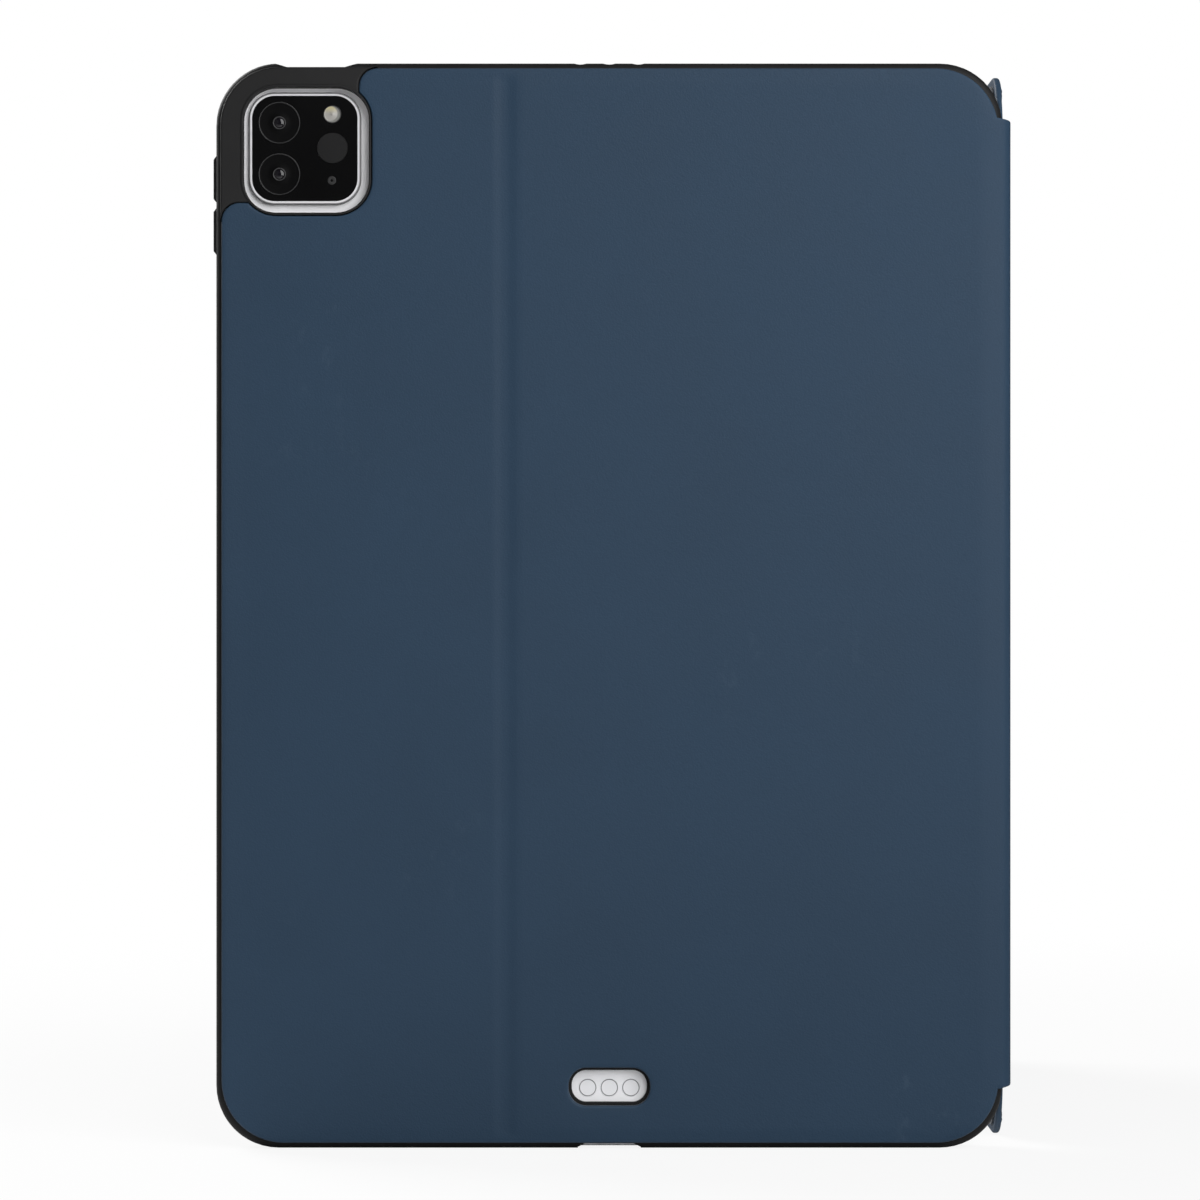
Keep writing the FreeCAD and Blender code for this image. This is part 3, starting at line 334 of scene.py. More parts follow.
lens_element = grained(
    "lens_element_coated", (0.003, 0.0025, 0.0045), rough=0.08, grain=3.0, deep=0.0005, rough_drift=0.02
)
RING, BARREL, ELEMENT = range(3)
low, high = box_mm("camera_lenses")
lens_radius = (high.x - low.x) / 2
lens_x = (low.x + high.x) / 2
lens_profile = [
    (0, SEAT, BARREL),
    (lens_radius, SEAT, BARREL),
    (lens_radius, -0.06, RING),
    (lens_radius - 0.04, 0.0, RING),
    (lens_radius - 0.16, 0.0, RING),
    (lens_radius - 0.2, -0.05, RING),
    (lens_radius - 0.5, -0.07, BARREL),
    (3.0, -0.1, BARREL),
    (1.5, -0.16, BARREL),
    (1.44, -0.12, RING),
    (1.3, -0.12, RING),
    (1.24, -0.18, RING),
    (1.1, -0.2, BARREL),
    (0.95, -0.16, ELEMENT),
    (0.75, -0.09, ELEMENT),
    (0.45, -0.04, ELEMENT),
    (0.2, -0.015, ELEMENT),
    (0, -0.01, ELEMENT),
]
lens_places = [(lens_x, low.y, z) for z in (high.z - lens_radius, low.z + lens_radius)]
lenses = turned("camera_lens_barrels", lens_profile, lens_places, [lens_ring, lens_barrel, lens_element])
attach(lenses, "tray")
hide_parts("camera_lenses")

low, high = box_mm("camera_flash")
flash_radius = (high.x - low.x) / 2
middle = (low + high) / 2
flash_cream_painted_shadow, tree, shader, position = start_finish("flash_diffuser_painted_shadow", roughness=0.3, specular=0.4)
links = {"Vector": position, "Location": -middle * MM}
local = add(tree, "ShaderNodeMapping", links, vector_type="POINT").outputs[0]
up = add(tree, "ShaderNodeSeparateXYZ", {0: local}).outputs["Z"]
# The diffuser turns yellower and a little lighter towards the top.
warm = stretch(tree, up, 0.0, FLASH_WARM * MM, smooth=True)
shade = blend_colors(tree, warm, (0.33, 0.32, 0.3, 1), (0.42, 0.38, 0.22, 1))
# Darker in a crescent outside a circle set left of the flash's middle: painted shadow.
links = {0: local, 1: Vector(FLASH_BRIGHT_SPOT) * MM}
aside = add(tree, "ShaderNodeVectorMath", links, operation="SUBTRACT").outputs[0]
painted_shadow = stretch(tree, length_of(tree, aside), *(reach * MM for reach in FLASH_PAINTED_SHADOW), smooth=True)
shade = blend_colors(tree, painted_shadow, shade, (0.17, 0.17, 0.16, 1))
feed(shader, "Base Color", shade)
bump(tree, shader, placed(grain_group, tree, position, size=0.3 * MM)["Height"], 0.02)
flash_profile = [
    (0, SEAT, 0),
    (flash_radius, SEAT, 0),
    (flash_radius, -0.08, 1),
    (flash_radius - 0.18, -0.02, 1),
]
for number in range(FLASH_RIDGES):
    outer = (flash_radius - FLASH_RIM) * (1 - number / FLASH_RIDGES)
    flash_profile.append((outer, RIDGE_FOOT, 0))
    flash_profile.append((outer * RIDGE_TAPER - RIDGE_STEP, RIDGE_TOP + RIDGE_RISE * number, 0))
flash_profile.append((0, RIDGE_TOP + RIDGE_RISE * FLASH_RIDGES, 0))
flash_place = (middle.x, low.y, middle.z)
flash = turned("camera_flash_diffuser", flash_profile, [flash_place], [flash_cream_painted_shadow, lens_ring])
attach(flash, "tray")
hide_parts("camera_flash")

mesh_grey = grained(
    "microphone_mesh", (0.009, 0.009, 0.0095), rough=0.5, grain=0.12, deep=0.02, metallic=0.2
)
dish_profile = [(radius, out, 0) for radius, out in DISH_BACK + DISH_FACE]
dish_place = (MICROPHONE_X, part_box("camera_glass")[0].y / MM, MICROPHONE_Z)
microphone = turned("camera_microphone", dish_profile, [dish_place], [mesh_grey])
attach(microphone, "tray")

# Tray: one black TPU moulding that wraps the tablet's back and edges, raised round the camera hole.
# The two volume covers are thin bumps of the same moulding. Steel keepers inside it hold the stand shut.
tpu = grained(
    "moulded_tpu", (0.01, 0.01, 0.0103), rough=0.56, grain=0.22, deep=0.02, drift=0.16, specular=0.19
)
dress(tpu, "shell_tray", "volume_up_cover", "volume_down_cover")
steel = grained("rolled_steel", (0.5, 0.5, 0.5), rough=0.35, grain=0.3, deep=0.01, metallic=1.0)
dress(steel, "keeper_strips", "backplate")

# Skin: one sheet of navy PU with a very fine leather grain, glued over thin boards, its edges turned in.
# It runs from the fixed section over the crease to the stand, round the spine and on to the front cover.
# It is drawn flat and then bent round the spine, in three lengths, one to a fold, that meet on stiff parts.
EDGE_ROUND = 0.5
EDGE_RINGS = 4
INNER_LOOP = 0.7
INNER_CLEAR = 0.75
GRID_CLEAR = 1.4
LONG_STEP = 8.0
MIN_STEP = 0.12
ARC_STEP = 6
TOUCH = 1e-5
PANEL_DEEP = 1.7
SPINE_DEEP = 1.1
SPINE_EASE = 3.5
SPINE_PAST_FOLD = 1.0
SKIN_CORNER = 14.4
SKIN_TRIM = 0.3
COVER_CORNER = 14.5
CREASE_DIP = 0.33
CREASE_IN = (-3.0, -0.4)
CREASE_OUT = (0.3, 3.6)
CREASE_ENDS = (0.4, 3.5)
SEAM_PAST_CREASE = 4.25
FIXED_DIP = 0.12
FIXED_IN = (0.5, 7.0)
EDGE_DIP = 0.22
EDGE_DIP_REACH = 4.3
EDGE_PAST_ROLL = 1.2
FOOT_DIP = 0.35
FOOT_DIP_REACH = 3.6
SIDE_SLOPE = 0.095
SIDE_SOFT = 0.7
LEAST_HALF = 0.02
FAR = 500.0
COVER_DIP = 0.15
COVER_FROM_FOLD = 6
FOLD_DIP = 0.3
FOLD_IN = (-2.6, -1.4)
FOLD_OUT = (4.6, 6.2)
FOLD_BAND = 2.12
WINDOW_DIP = 0.12
WINDOW_DIP_REACH = 2.5
WINDOW_HALF_WIDTH = 9.4
WINDOW_HALF_HEIGHT = 4.4
WINDOW_ROUND = 4.1
WINDOW_Z = 14.5
TAB_SLANT = 0.6
ROLL = 3.0
ROLL_LENGTH = ROLL * pi / 2
HOLE_X, HOLE_Z = -70.0, 230.8
NOTCH_HALF = 15.2
NOTCH_ROUND = 8.3
NOTCH_LOBE = 4.2
NOTCH_HUG = 50.0

joints = {joint["name"]: joint for joint in frame["joints"]}
crease, spine_fold, cover_fold = (
    Vector(joints[name]["pos_m"]) / MM for name in ("stand_crease", "spine_fold", "cover_fold")
)
low, high = box_mm("fixed_skin")
panel_left, panel_face = low.x + SKIN_TRIM, low.y
panel_low, panel_high = low.z + SKIN_TRIM, high.z - SKIN_TRIM
low, high = box_mm("spine_skin")
spine_face, spine_low, spine_high = high.x, low.z, high.z
low, high = box_mm("cover_skin")
cover_low, cover_high, cover_far_y = low.z, high.z, high.y
tray_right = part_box("shell_tray")[1].x / MM
board_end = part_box("stand_board")[1].x / MM
roll_x = spine_face - ROLL
roll_y = panel_face + ROLL
roll_end = roll_x + ROLL_LENGTH
fold_at = roll_end + cover_fold.y - roll_y
cover_far = roll_end + cover_far_y - roll_y
cover_near = fold_at + spine_fold.x - tray_right
spine_middle = (roll_end + fold_at) / 2
crease_seam = crease.x + SEAM_PAST_CREASE


def arc(x, z, radius, first, last):
    """Points of an arc between two angles in degrees."""
    steps = max(3, ceil(abs(last - first) / ARC_STEP))
    turns = [radians(first + (last - first) * step / steps) for step in range(steps + 1)]
    return [(x + radius * cos(turn), z + radius * sin(turn)) for turn in turns]


def angle_at(height, radius):
    """The angle, in degrees, at which a circle reaches a height over its centre."""
    return float(np.degrees(np.arcsin(height / radius)))


def rounded_loop(left, bottom, right, top, radius):
    return (
        arc(right - radius, bottom + radius, radius, -90, 0)
        + arc(right - radius, top - radius, radius, 0, 90)
        + arc(left + radius, top - radius, radius, 90, 180)
        + arc(left + radius, bottom + radius, radius, 180, 270)
    )


straight = NOTCH_HALF - NOTCH_ROUND
hug_up = arc(HOLE_X + straight, HOLE_Z + straight, NOTCH_ROUND, NOTCH_HUG, 0)
hug_corner = arc(HOLE_X + straight, HOLE_Z - straight, NOTCH_ROUND, 0, -90)
hug_side = arc(HOLE_X - straight, HOLE_Z - straight, NOTCH_ROUND, -90, -90 - NOTCH_HUG)
lobe_up = arc(hug_up[0][0] + NOTCH_LOBE, panel_high - NOTCH_LOBE, NOTCH_LOBE, 90, 180)
lobe_side = arc(panel_left + NOTCH_LOBE, hug_side[-1][1] - NOTCH_LOBE, NOTCH_LOBE, 90, 180)
strip_low = angle_at(spine_low - panel_low - SKIN_CORNER, SKIN_CORNER)
strip_high = angle_at(spine_high - panel_high + SKIN_CORNER, SKIN_CORNER)
cover_strip_low = angle_at(spine_low - cover_low - COVER_CORNER, COVER_CORNER)
cover_strip_high = angle_at(spine_high - cover_high + COVER_CORNER, COVER_CORNER)
skin_outline = (
    arc(panel_left + SKIN_CORNER, panel_low + SKIN_CORNER, SKIN_CORNER, 180, 270)
    + arc(roll_x - SKIN_CORNER, panel_low + SKIN_CORNER, SKIN_CORNER, -90, strip_low)
    + [(roll_end, spine_low + TAB_SLANT), (fold_at - FOLD_BAND, spine_low + TAB_SLANT)]
    + arc(cover_near + COVER_CORNER, cover_low + COVER_CORNER, COVER_CORNER, 180 - cover_strip_low, 270)
    + arc(cover_far - COVER_CORNER, cover_low + COVER_CORNER, COVER_CORNER, 270, 360)
    + arc(cover_far - COVER_CORNER, cover_high - COVER_CORNER, COVER_CORNER, 0, 90)
    + arc(cover_near + COVER_CORNER, cover_high - COVER_CORNER, COVER_CORNER, 90, 180 - cover_strip_high)
    + [(fold_at - FOLD_BAND, spine_high - TAB_SLANT), (roll_end, spine_high - TAB_SLANT)]
    + arc(roll_x - SKIN_CORNER, panel_high - SKIN_CORNER, SKIN_CORNER, strip_high, 90)
    + lobe_up
    + hug_up
    + hug_corner
    + hug_side
    + lobe_side
)
window = (
    -WINDOW_HALF_WIDTH,
    WINDOW_Z - WINDOW_HALF_HEIGHT,
    WINDOW_HALF_WIDTH,
    WINDOW_Z + WINDOW_HALF_HEIGHT,
    WINDOW_ROUND,
)
window_hole = rounded_loop(*window)[::-1]


def clipped(loop, limit, keep_above):
    """The part of an outline on one side of a line across it."""
    side = 1 if keep_above else -1
    kept = []
    for number, there in enumerate(loop):
        here = loop[number - 1]
        a, b = side * (here[0] - limit), side * (there[0] - limit)
        if a * b < 0:
            share = a / (a - b)
            kept.append((limit, here[1] + (there[1] - here[1]) * share))
        if b >= 0:
            kept.append(there)
    return kept


def on_seam(first, last, seams):
    """Whether a run of an outline lies along a seam, where the next length goes on."""
    return any(abs(first[0] - cut) < TOUCH and abs(last[0] - cut) < TOUCH for cut in seams)


def dense(loop, columns, rows, seams):
    """The outline with points where the columns and rows cross its straight runs, each with its way out."""
    points = []
    for number, (s1, z1) in enumerate(loop):
        s0, z0 = loop[number - 1]
        length = ((s1 - s0) ** 2 + (z1 - z0) ** 2) ** 0.5
        if length < 10 * TOUCH:
            continue
        if abs(s1 - s0) > abs(z1 - z0):
            shares = [(column - s0) / (s1 - s0) for column in columns]
        else:
            shares = [(row - z0) / (z1 - z0) for row in rows]
        least = MIN_STEP / length
        last = 0.0
        for share in sorted(share for share in shares if least < share < 1 - least) + [1.0]:
            if share == 1.0 or share > last + least:
                points.append((s0 + (s1 - s0) * share, z0 + (z1 - z0) * share))
                last = share
    outward = []
    for number, here in enumerate(points):
        ways = []
        for a, b in ((points[number - 1], here), (here, points[(number + 1) % len(points)])):
            run = ((b[0] - a[0]) ** 2 + (b[1] - a[1]) ** 2) ** 0.5
            flush = on_seam(a, b, seams)
            ways.append((0.0, 0.0) if flush else ((b[1] - a[1]) / run, (a[0] - b[0]) / run))
        total = (ways[0][0] + ways[1][0], ways[0][1] + ways[1][1])
        if (0.0, 0.0) in ways:
            size = abs(total[1])
            outward.append((0.0, total[1] / size if size > TOUCH else 0.0))
        else:
            square = (total[0] ** 2 + total[1] ** 2) / 2
            outward.append((total[0] / square, total[1] / square))
    return points, outward


def away_from(points, loops):
    """How far points are from the nearest edge of the outlines."""
    spots = np.array(points)
    best = np.full(len(spots), FAR)
    for loop in loops:
        ends = np.array(loop)
        for a, b in zip(np.roll(ends, 1, axis=0), ends):
            run = b - a
            share = np.clip((spots - a) @ run / max(run @ run, TOUCH * TOUCH), 0, 1)
            best = np.minimum(best, np.linalg.norm(spots - a - share[:, None] * run, axis=1))
    return best


def holds(loop, spot):
    """Whether an outline has a point inside it."""
    inside_it = False
    for number, (s1, z1) in enumerate(loop):
        s0, z0 = loop[number - 1]
        if (z0 > spot[1]) != (z1 > spot[1]) and spot[0] < s0 + (s1 - s0) * (spot[1] - z0) / (z1 - z0):
            inside_it = not inside_it
    return inside_it


def slab(name, loops, seams, columns, rows, to_space, finish, edge=EDGE_ROUND):
    """A sheet with rounded edges; to_space(s, z, depth from 0 to 1, extra) gives a point in millimetres."""
    outlines = [dense(loop, columns, rows, seams) for loop in loops]
    flat, edges, rings, inner = [], [], [], []
    for points, outward in outlines:
        ring = range(len(flat), len(flat) + len(points))
        for (s, z), (out_s, out_z) in zip(points, outward):
            flat.append((s - edge * out_s, z - edge * out_z))
            inner.append((s - (edge + INNER_LOOP) * out_s, z - (edge + INNER_LOOP) * out_z))
        edges += zip(ring, [*ring[1:], ring[0]])
        rings.append(ring)
    borders = [[flat[index] for index in ring] for ring in rings]
    grid = [(s, z) for s in columns for z in rows]
    for spots, clear in ((inner, INNER_CLEAR), (grid, GRID_CLEAR)):
        gaps = away_from(spots, borders)
        flat += [spot for spot, gap in zip(spots, gaps) if gap > INNER_LOOP * clear]
    spots, _, faces, origins, _, _ = delaunay_2d_cdt([Vector(spot) for spot in flat], edges, [], 2, TOUCH)
    index_of = {source: number for number, sources in enumerate(origins) for source in sources}
    kept = []
    for face in faces:
        middle = sum((spots[corner] for corner in face), Vector((0.0, 0.0))) / len(face)
        if not any(holds(border, middle) for border in borders[1:]):
            kept.append(face)

    mesh = bmesh.new()
    # Marks the rounded edges. The skin's colour makes them lighter there: partly wear, partly painted
    # highlight.
    worn_and_highlit_edge = mesh.verts.layers.float.new("worn_and_highlit_edge")
    outer, under = {}, {}
    for number in {corner for face in kept for corner in face}:
        s, z = spots[number]
        outer[number] = mesh.verts.new(to_space(s, z, 0.0, 0.0) * MM)
        under[number] = mesh.verts.new(to_space(s, z, 1.0, 0.0) * MM)
    for face in kept:
        mesh.faces.new([outer[corner] for corner in face])
        mesh.faces.new([under[corner] for corner in reversed(face)])
    turns = [pi / 2 * step / EDGE_RINGS for step in range(1, EDGE_RINGS + 1)]
    profile = [(edge * sin(turn), 0.0, edge * (1 - cos(turn))) for turn in turns]
    profile += [(grow, 1.0, -extra) for grow, _, extra in reversed(profile)]
    for (points, outward), ring in zip(outlines, rings):
        layers = [[outer[index_of[index]] for index in ring]]
        for grow, depth, extra in profile:
            layer = []
            for index, (out_s, out_z) in zip(ring, outward):
                s, z = flat[index]
                vert = mesh.verts.new(to_space(s + grow * out_s, z + grow * out_z, depth, extra) * MM)
                vert[worn_and_highlit_edge] = 1.0 if out_s or out_z else 0.0
                layer.append(vert)
            layers.append(layer)
        layers.append([under[index_of[index]] for index in ring])
        for upper, lower in zip(layers, layers[1:]):
            for number, here in enumerate(points):
                after = (number + 1) % len(points)
                wall = mesh.faces.new([upper[number], lower[number], lower[after], upper[after]])
                wall.tag = on_seam(here, points[after], seams)
    for face in mesh.faces:
        face.smooth = True
    for line in mesh.edges:
        line.smooth = sum(face.tag for face in line.link_faces) != 1
    return add_piece(name, mesh, [finish])


def ease(value, low_end, high_end):
    """A smooth step from 0 to 1."""
    share = min(1.0, max(0.0, (value - low_end) / (high_end - low_end)))
    return share * share * (3 - 2 * share)


def inside_by(s, z, left, bottom, right, top, radius):
    """How far a point lies inside a rectangle with round corners."""
    reach_s = max(left + radius - s, s - right + radius, 0.0)
    reach_z = max(bottom + radius - z, z - top + radius, 0.0)
    if reach_s and reach_z:
        return radius - (reach_s**2 + reach_z**2) ** 0.5
    return min(s - left, right - s, z - bottom, top - z)


def skin_dip(s, z):
    """How far the skin's outer face sinks where nothing stiff is under it."""
    across = s - crease.x
    level = FIXED_DIP * ease(s - panel_left, *FIXED_IN)
    sunk = level + (CREASE_DIP - level) * ease(across, *CREASE_IN)
    fade = ease(min(z - panel_low, panel_high - z), *CREASE_ENDS)
    dip = sunk * (1 - ease(across, *CREASE_OUT)) * fade
    if s < roll_end:
        flat_share = 1 - ease(s, roll_x, roll_end)
        right = roll_x + EDGE_PAST_ROLL
        gap = inside_by(s, z, panel_left - FAR, panel_low - FAR, right, panel_high, SKIN_CORNER)
        dip += EDGE_DIP * (1 - ease(gap, 0.0, EDGE_DIP_REACH)) * flat_share
        dip += FOOT_DIP * (1 - ease(z - panel_low, 0.0, FOOT_DIP_REACH)) * flat_share
        past_board = max(0.0, s - board_end + SIDE_SOFT)
        dip += SIDE_SLOPE * past_board**2 / (past_board + SIDE_SOFT) * flat_share
        past_window = -inside_by(s, z, *window)
        dip += WINDOW_DIP * (1 - ease(past_window, 0.0, WINDOW_DIP_REACH))
    along = s - fold_at
    dip += FOLD_DIP * ease(along, *FOLD_IN) * (1 - ease(along, *FOLD_OUT))
    if along > COVER_FROM_FOLD:
        gap = inside_by(s, z, cover_near, cover_low, cover_far, cover_high, COVER_CORNER)
        dip += COVER_DIP * (1 - ease(gap, 0.0, EDGE_DIP_REACH))
    return dip


def skin_deep(s):
    """The sheet's thickness with what is glued under it."""
    past_fold = fold_at + SPINE_PAST_FOLD
    spine_part = ease(s, roll_x - SPINE_EASE, roll_x) * (1 - ease(s, past_fold, past_fold + SPINE_EASE))
    return PANEL_DEEP + (SPINE_DEEP - PANEL_DEEP) * spine_part


def on_sheet(s, z, depth):
    """A point of the bent sheet: along it, up, and in from its outer face."""
    if s <= roll_x:
        return Vector((s, panel_face + depth, z))
    if s < roll_end:
        turn = (s - roll_x) / ROLL
        return Vector((roll_x + (ROLL - depth) * sin(turn), roll_y - (ROLL - depth) * cos(turn), z))
    return Vector((spine_face - depth, roll_y + s - roll_end, z))


def skin_space(s, z, depth, extra):
    face, back = skin_dip(s, z), skin_deep(s)
    middle = (face + back) / 2
    if depth == 0:
        return on_sheet(s, z, min(face + extra, middle - LEAST_HALF))
    return on_sheet(s, z, max(back + extra, middle + LEAST_HALF))


def spread(first, last, step):
    count = max(1, round((last - first) / step))
    return [first + (last - first) * number / count for number in range(count + 1)]


NEAR_EDGE = (1.5, 2.2, 3.0, 3.8, 4.6, 6.0)
CREASE_STEP = 0.4
EDGE_STEP = 0.76
ROLL_STEP = 0.393
SPINE_STEP = 1.5
FOLD_STEP = 0.3
COLUMN_CLEAR = 0.2
LONG_COLUMNS_END = 80
EDGE_COLUMNS_START = 84.5
skin_columns = (
    [panel_left + near for near in NEAR_EDGE]
    + spread(panel_left + 12, crease.x - 5, LONG_STEP)
    + spread(crease.x - 3.4, crease.x + 3.8, CREASE_STEP)
    + spread(crease_seam + 6, LONG_COLUMNS_END, LONG_STEP)
    + spread(EDGE_COLUMNS_START, roll_x, EDGE_STEP)
    + spread(roll_x, roll_end, ROLL_STEP)[1:]
    + spread(roll_end, fold_at - 3.0, SPINE_STEP)[1:]
    + spread(fold_at - 2.7, fold_at + 2.7, FOLD_STEP)
    + spread(fold_at + 3.2, fold_at + 6.8, 2 * FOLD_STEP)
    + spread(fold_at + 10, cover_far - 8, LONG_STEP)
    + [cover_far - near for near in reversed(NEAR_EDGE)]
)

PORES_FINER = 2.3
PORE_SHARE = 0.6
pebble_group, entry, exit_ = new_group("pressed_pebble", {"Size": 0.4 * MM}, ["Height"])
scale = arithmetic(pebble_group, "DIVIDE", 1.0, entry["Size"])
links = {"Vector": entry["Position"], "Scale": scale, "Smoothness": 0.6}
cells = add(pebble_group, "ShaderNodeTexVoronoi", links, feature="SMOOTH_F1")
finer = arithmetic(pebble_group, "MULTIPLY", scale, PORES_FINER)
links = {"Vector": entry["Position"], "Scale": finer, "Detail": 2.0}
pores = add(pebble_group, "ShaderNodeTexNoise", links)
height = arithmetic(pebble_group, "MULTIPLY_ADD", pores.outputs[0], PORE_SHARE, cells.outputs["Distance"])
pebble_group.links.new(height, exit_["Height"])

PATCH_SPAN = (0.56, 0.72)
MARK_SPAN = (0.55, 0.7)
sizes = {"Patch Size": 50 * MM, "Mark Size": 4 * MM}
scuff_group, entry, exit_ = new_group("light_scuffs", sizes, ["Mask"])
scale = arithmetic(scuff_group, "DIVIDE", 1.0, entry["Patch Size"])
patches = add(scuff_group, "ShaderNodeTexNoise", {"Vector": entry["Position"], "Scale": scale})
links = {"Vector": entry["Position"], "Rotation": (0.0, 0.5, 0.0), "Scale": (1.0, 1.0, 0.6)}
slant = add(scuff_group, "ShaderNodeMapping", links)
scale = arithmetic(scuff_group, "DIVIDE", 1.0, entry["Mark Size"])
links = {"Vector": slant.outputs[0], "Scale": scale, "Detail": 5.0, "Roughness": 0.7}
marks = add(scuff_group, "ShaderNodeTexNoise", links)
patch_mask = stretch(scuff_group, patches.outputs[0], *PATCH_SPAN, smooth=True)
mark_mask = stretch(scuff_group, marks.outputs[0], *MARK_SPAN, smooth=True)
mask = arithmetic(scuff_group, "MULTIPLY", patch_mask, mark_mask)
scuff_group.links.new(mask, exit_["Mask"])

NAVY = (0.0181, 0.0402, 0.072)
NAVY_SCUFFED = (0.067, 0.1, 0.14, 1)
NAVY_EDGE_WEAR_AND_HIGHLIGHT = (0.04, 0.07, 0.11, 1)
SKIN_ROUGH = (0.5, 0.58)
PEBBLE_SPAN = (0.35, 0.95)
PEBBLE_SHARE = 0.35
SCUFF_SHARE = 0.16
SCUFF_ROUGH = 0.12
EDGE_WEAR_AND_HIGHLIGHT_SHARE = 0.3
navy_skin, tree, shader, position = start_finish("navy_pu_skin", specular=0.18, sheen_weight=0.01)
pebble = placed(pebble_group, tree, position, size=0.42 * MM)["Height"]
clouds = placed(grain_group, tree, position, size=1.6 * MM, cloud_size=35 * MM)["Cloud"]
scuffs = placed(scuff_group, tree, position, patch_size=45 * MM, mark_size=4 * MM)["Mask"]
edge_wear_and_highlight = add(tree, "ShaderNodeAttribute", attribute_name="worn_and_highlit_edge").outputs["Fac"]
cloud = stretch(tree, clouds, *NOISE_SPAN)
shade = blend_colors(tree, cloud, tint(NAVY, 0.95), tint(NAVY, 1.05))
raised = stretch(tree, pebble, *PEBBLE_SPAN, 0.0, PEBBLE_SHARE)
shade = blend_colors(tree, raised, shade, tint(NAVY, 0.9))
shade = blend_colors(tree, arithmetic(tree, "MULTIPLY", scuffs, SCUFF_SHARE), shade, NAVY_SCUFFED)
# The rounded edge is lighter: partly edge wear, partly painted highlight on the turned-over edge.
shade = blend_colors(tree, arithmetic(tree, "MULTIPLY", edge_wear_and_highlight, EDGE_WEAR_AND_HIGHLIGHT_SHARE), shade, NAVY_EDGE_WEAR_AND_HIGHLIGHT)
feed(shader, "Base Color", shade)
even = stretch(tree, cloud, 0.0, 1.0, *SKIN_ROUGH)
feed(shader, "Roughness", arithmetic(tree, "MULTIPLY_ADD", scuffs, SCUFF_ROUGH, even))
bump(tree, shader, pebble, 0.03)


def add_skin(name, ends, rise, replaced, holes=()):
    """One length of the skin between two ends along the sheet, bent as it rests; ends and rise are in
    millimetres.
    """
    first, last = ends
    low, high = rise
    loop = skin_outline
    seams = []
    if first > panel_left:
        loop = clipped(loop, first, True)
        seams.append(first)
    if last < cover_far:
        loop = clipped(loop, last, False)
        seams.append(last)
    columns = [column for column in skin_columns if first + COLUMN_CLEAR < column < last - COLUMN_CLEAR]
    rows = [low + near for near in NEAR_EDGE] + spread(low + 10, high - 10, LONG_STEP)
    rows += [high - near for near in reversed(NEAR_EDGE)]
    piece = slab(name, [loop, *holes], seams, columns, rows, skin_space, navy_skin)
    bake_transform(piece)
    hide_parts(*replaced)


add_skin(
    "skin_fixed_and_crease",
    ends=(panel_left, crease_seam),
    rise=(panel_low, panel_high),
    replaced=["fixed_skin"],
)
add_skin(
    "skin_stand_and_spine",
    ends=(crease_seam, spine_middle),
    rise=(panel_low, panel_high),
    replaced=["stand_skin", "spine_skin"],
    holes=[window_hole],
)
add_skin(
    "skin_spine_and_cover",
    ends=(spine_middle, cover_far),
    rise=(cover_low, cover_high),
    replaced=["cover_skin"],
)

# Boards and glue: grey board stiffens each section, a film bonds the fixed one to the tray.
# Bar magnets in the stand's board meet the keepers in the tray; they show only where a section is lifted.
board = grained("grey_board", (0.34, 0.33, 0.31), rough=0.85, grain=0.6, deep=0.05, cloud=6.0)
dress(board, "fixed_board", "stand_board", "spine_stiffener", "cover_board")
film = grained("bonding_film", (0.03, 0.03, 0.032), rough=0.6, grain=0.4, deep=0.02)
dress(film, "bonding_sheet")
nickel = grained("nickel_plate", (0.6, 0.59, 0.56), rough=0.28, grain=0.3, deep=0.006, metallic=1.0)
dress(nickel, "stand_magnets", "groove_magnets")

# Linings: a thin microfibre cloth with a short nap, on the inside of the stand, the spine and the cover.
# Each is cut a little short of the skin's turned edge and glued flat, with soft edges.
LINING = (0.03, 0.038, 0.05)
LINING_ROUGH = (0.86, 0.97)
NAP_SPAN = (0.25, 0.75)
BRUSH_SHARE = 0.35
LINING_EDGE = 0.18
LINING_CORNER = 12.5
LINING_GAP = 4
SPINE_LINING_STEP = 3
MODULE_CLEAR = 0.3
MODULE_CORNER = 9.3
microfibre, tree, shader, position = start_finish(
    "microfibre_lining", specular=0.15, sheen_weight=0.35, sheen_roughness=0.4
)
nap = placed(grain_group, tree, position, size=0.25 * MM, cloud_size=12 * MM)
brush = placed(scuff_group, tree, position, patch_size=30 * MM, mark_size=12 * MM)["Mask"]
tips = stretch(tree, nap["Height"], *NAP_SPAN)
shade = blend_colors(tree, tips, tint(LINING, 0.65), tint(LINING, 1.4))
shade = blend_colors(tree, arithmetic(tree, "MULTIPLY", brush, BRUSH_SHARE), shade, tint(LINING, 1.9))
feed(shader, "Base Color", shade)
feed(shader, "Roughness", stretch(tree, nap["Cloud"], *NOISE_SPAN, *LINING_ROUGH))
bump(tree, shader, nap["Height"], 0.06)
past_roll = roll_end - roll_y


def lining_place(body):
    """A lining's left, bottom, right and top on the drawn sheet, and its two depths in it."""
    low, high = box_mm(body + "_lining")
    if body == "stand":
        return low.x, low.z, high.x, high.z, low.y - panel_face, high.y - panel_face
    return low.y + past_roll, low.z, high.y + past_roll, high.z, spine_face - high.x, spine_face - low.x


def add_lining(body, board, loops, step=LONG_STEP, gap=LINING_GAP, **area):
    """A lining cut to its outlines and glued to a board of one body; the board argument is not used."""
    left, bottom, right, top, outer, inner = lining_place(body)

    def to_space(s, z, depth, extra):
        return on_sheet(s, z, outer + (inner - outer) * depth + extra)

    columns = spread(left + gap, right - gap, step)
    rows = spread(bottom + LINING_GAP, top - LINING_GAP, LONG_STEP)
    piece = slab("lining_" + body, loops, [], columns, rows, to_space, microfibre, LINING_EDGE)
    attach(piece, body)
    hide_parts(body + "_lining")


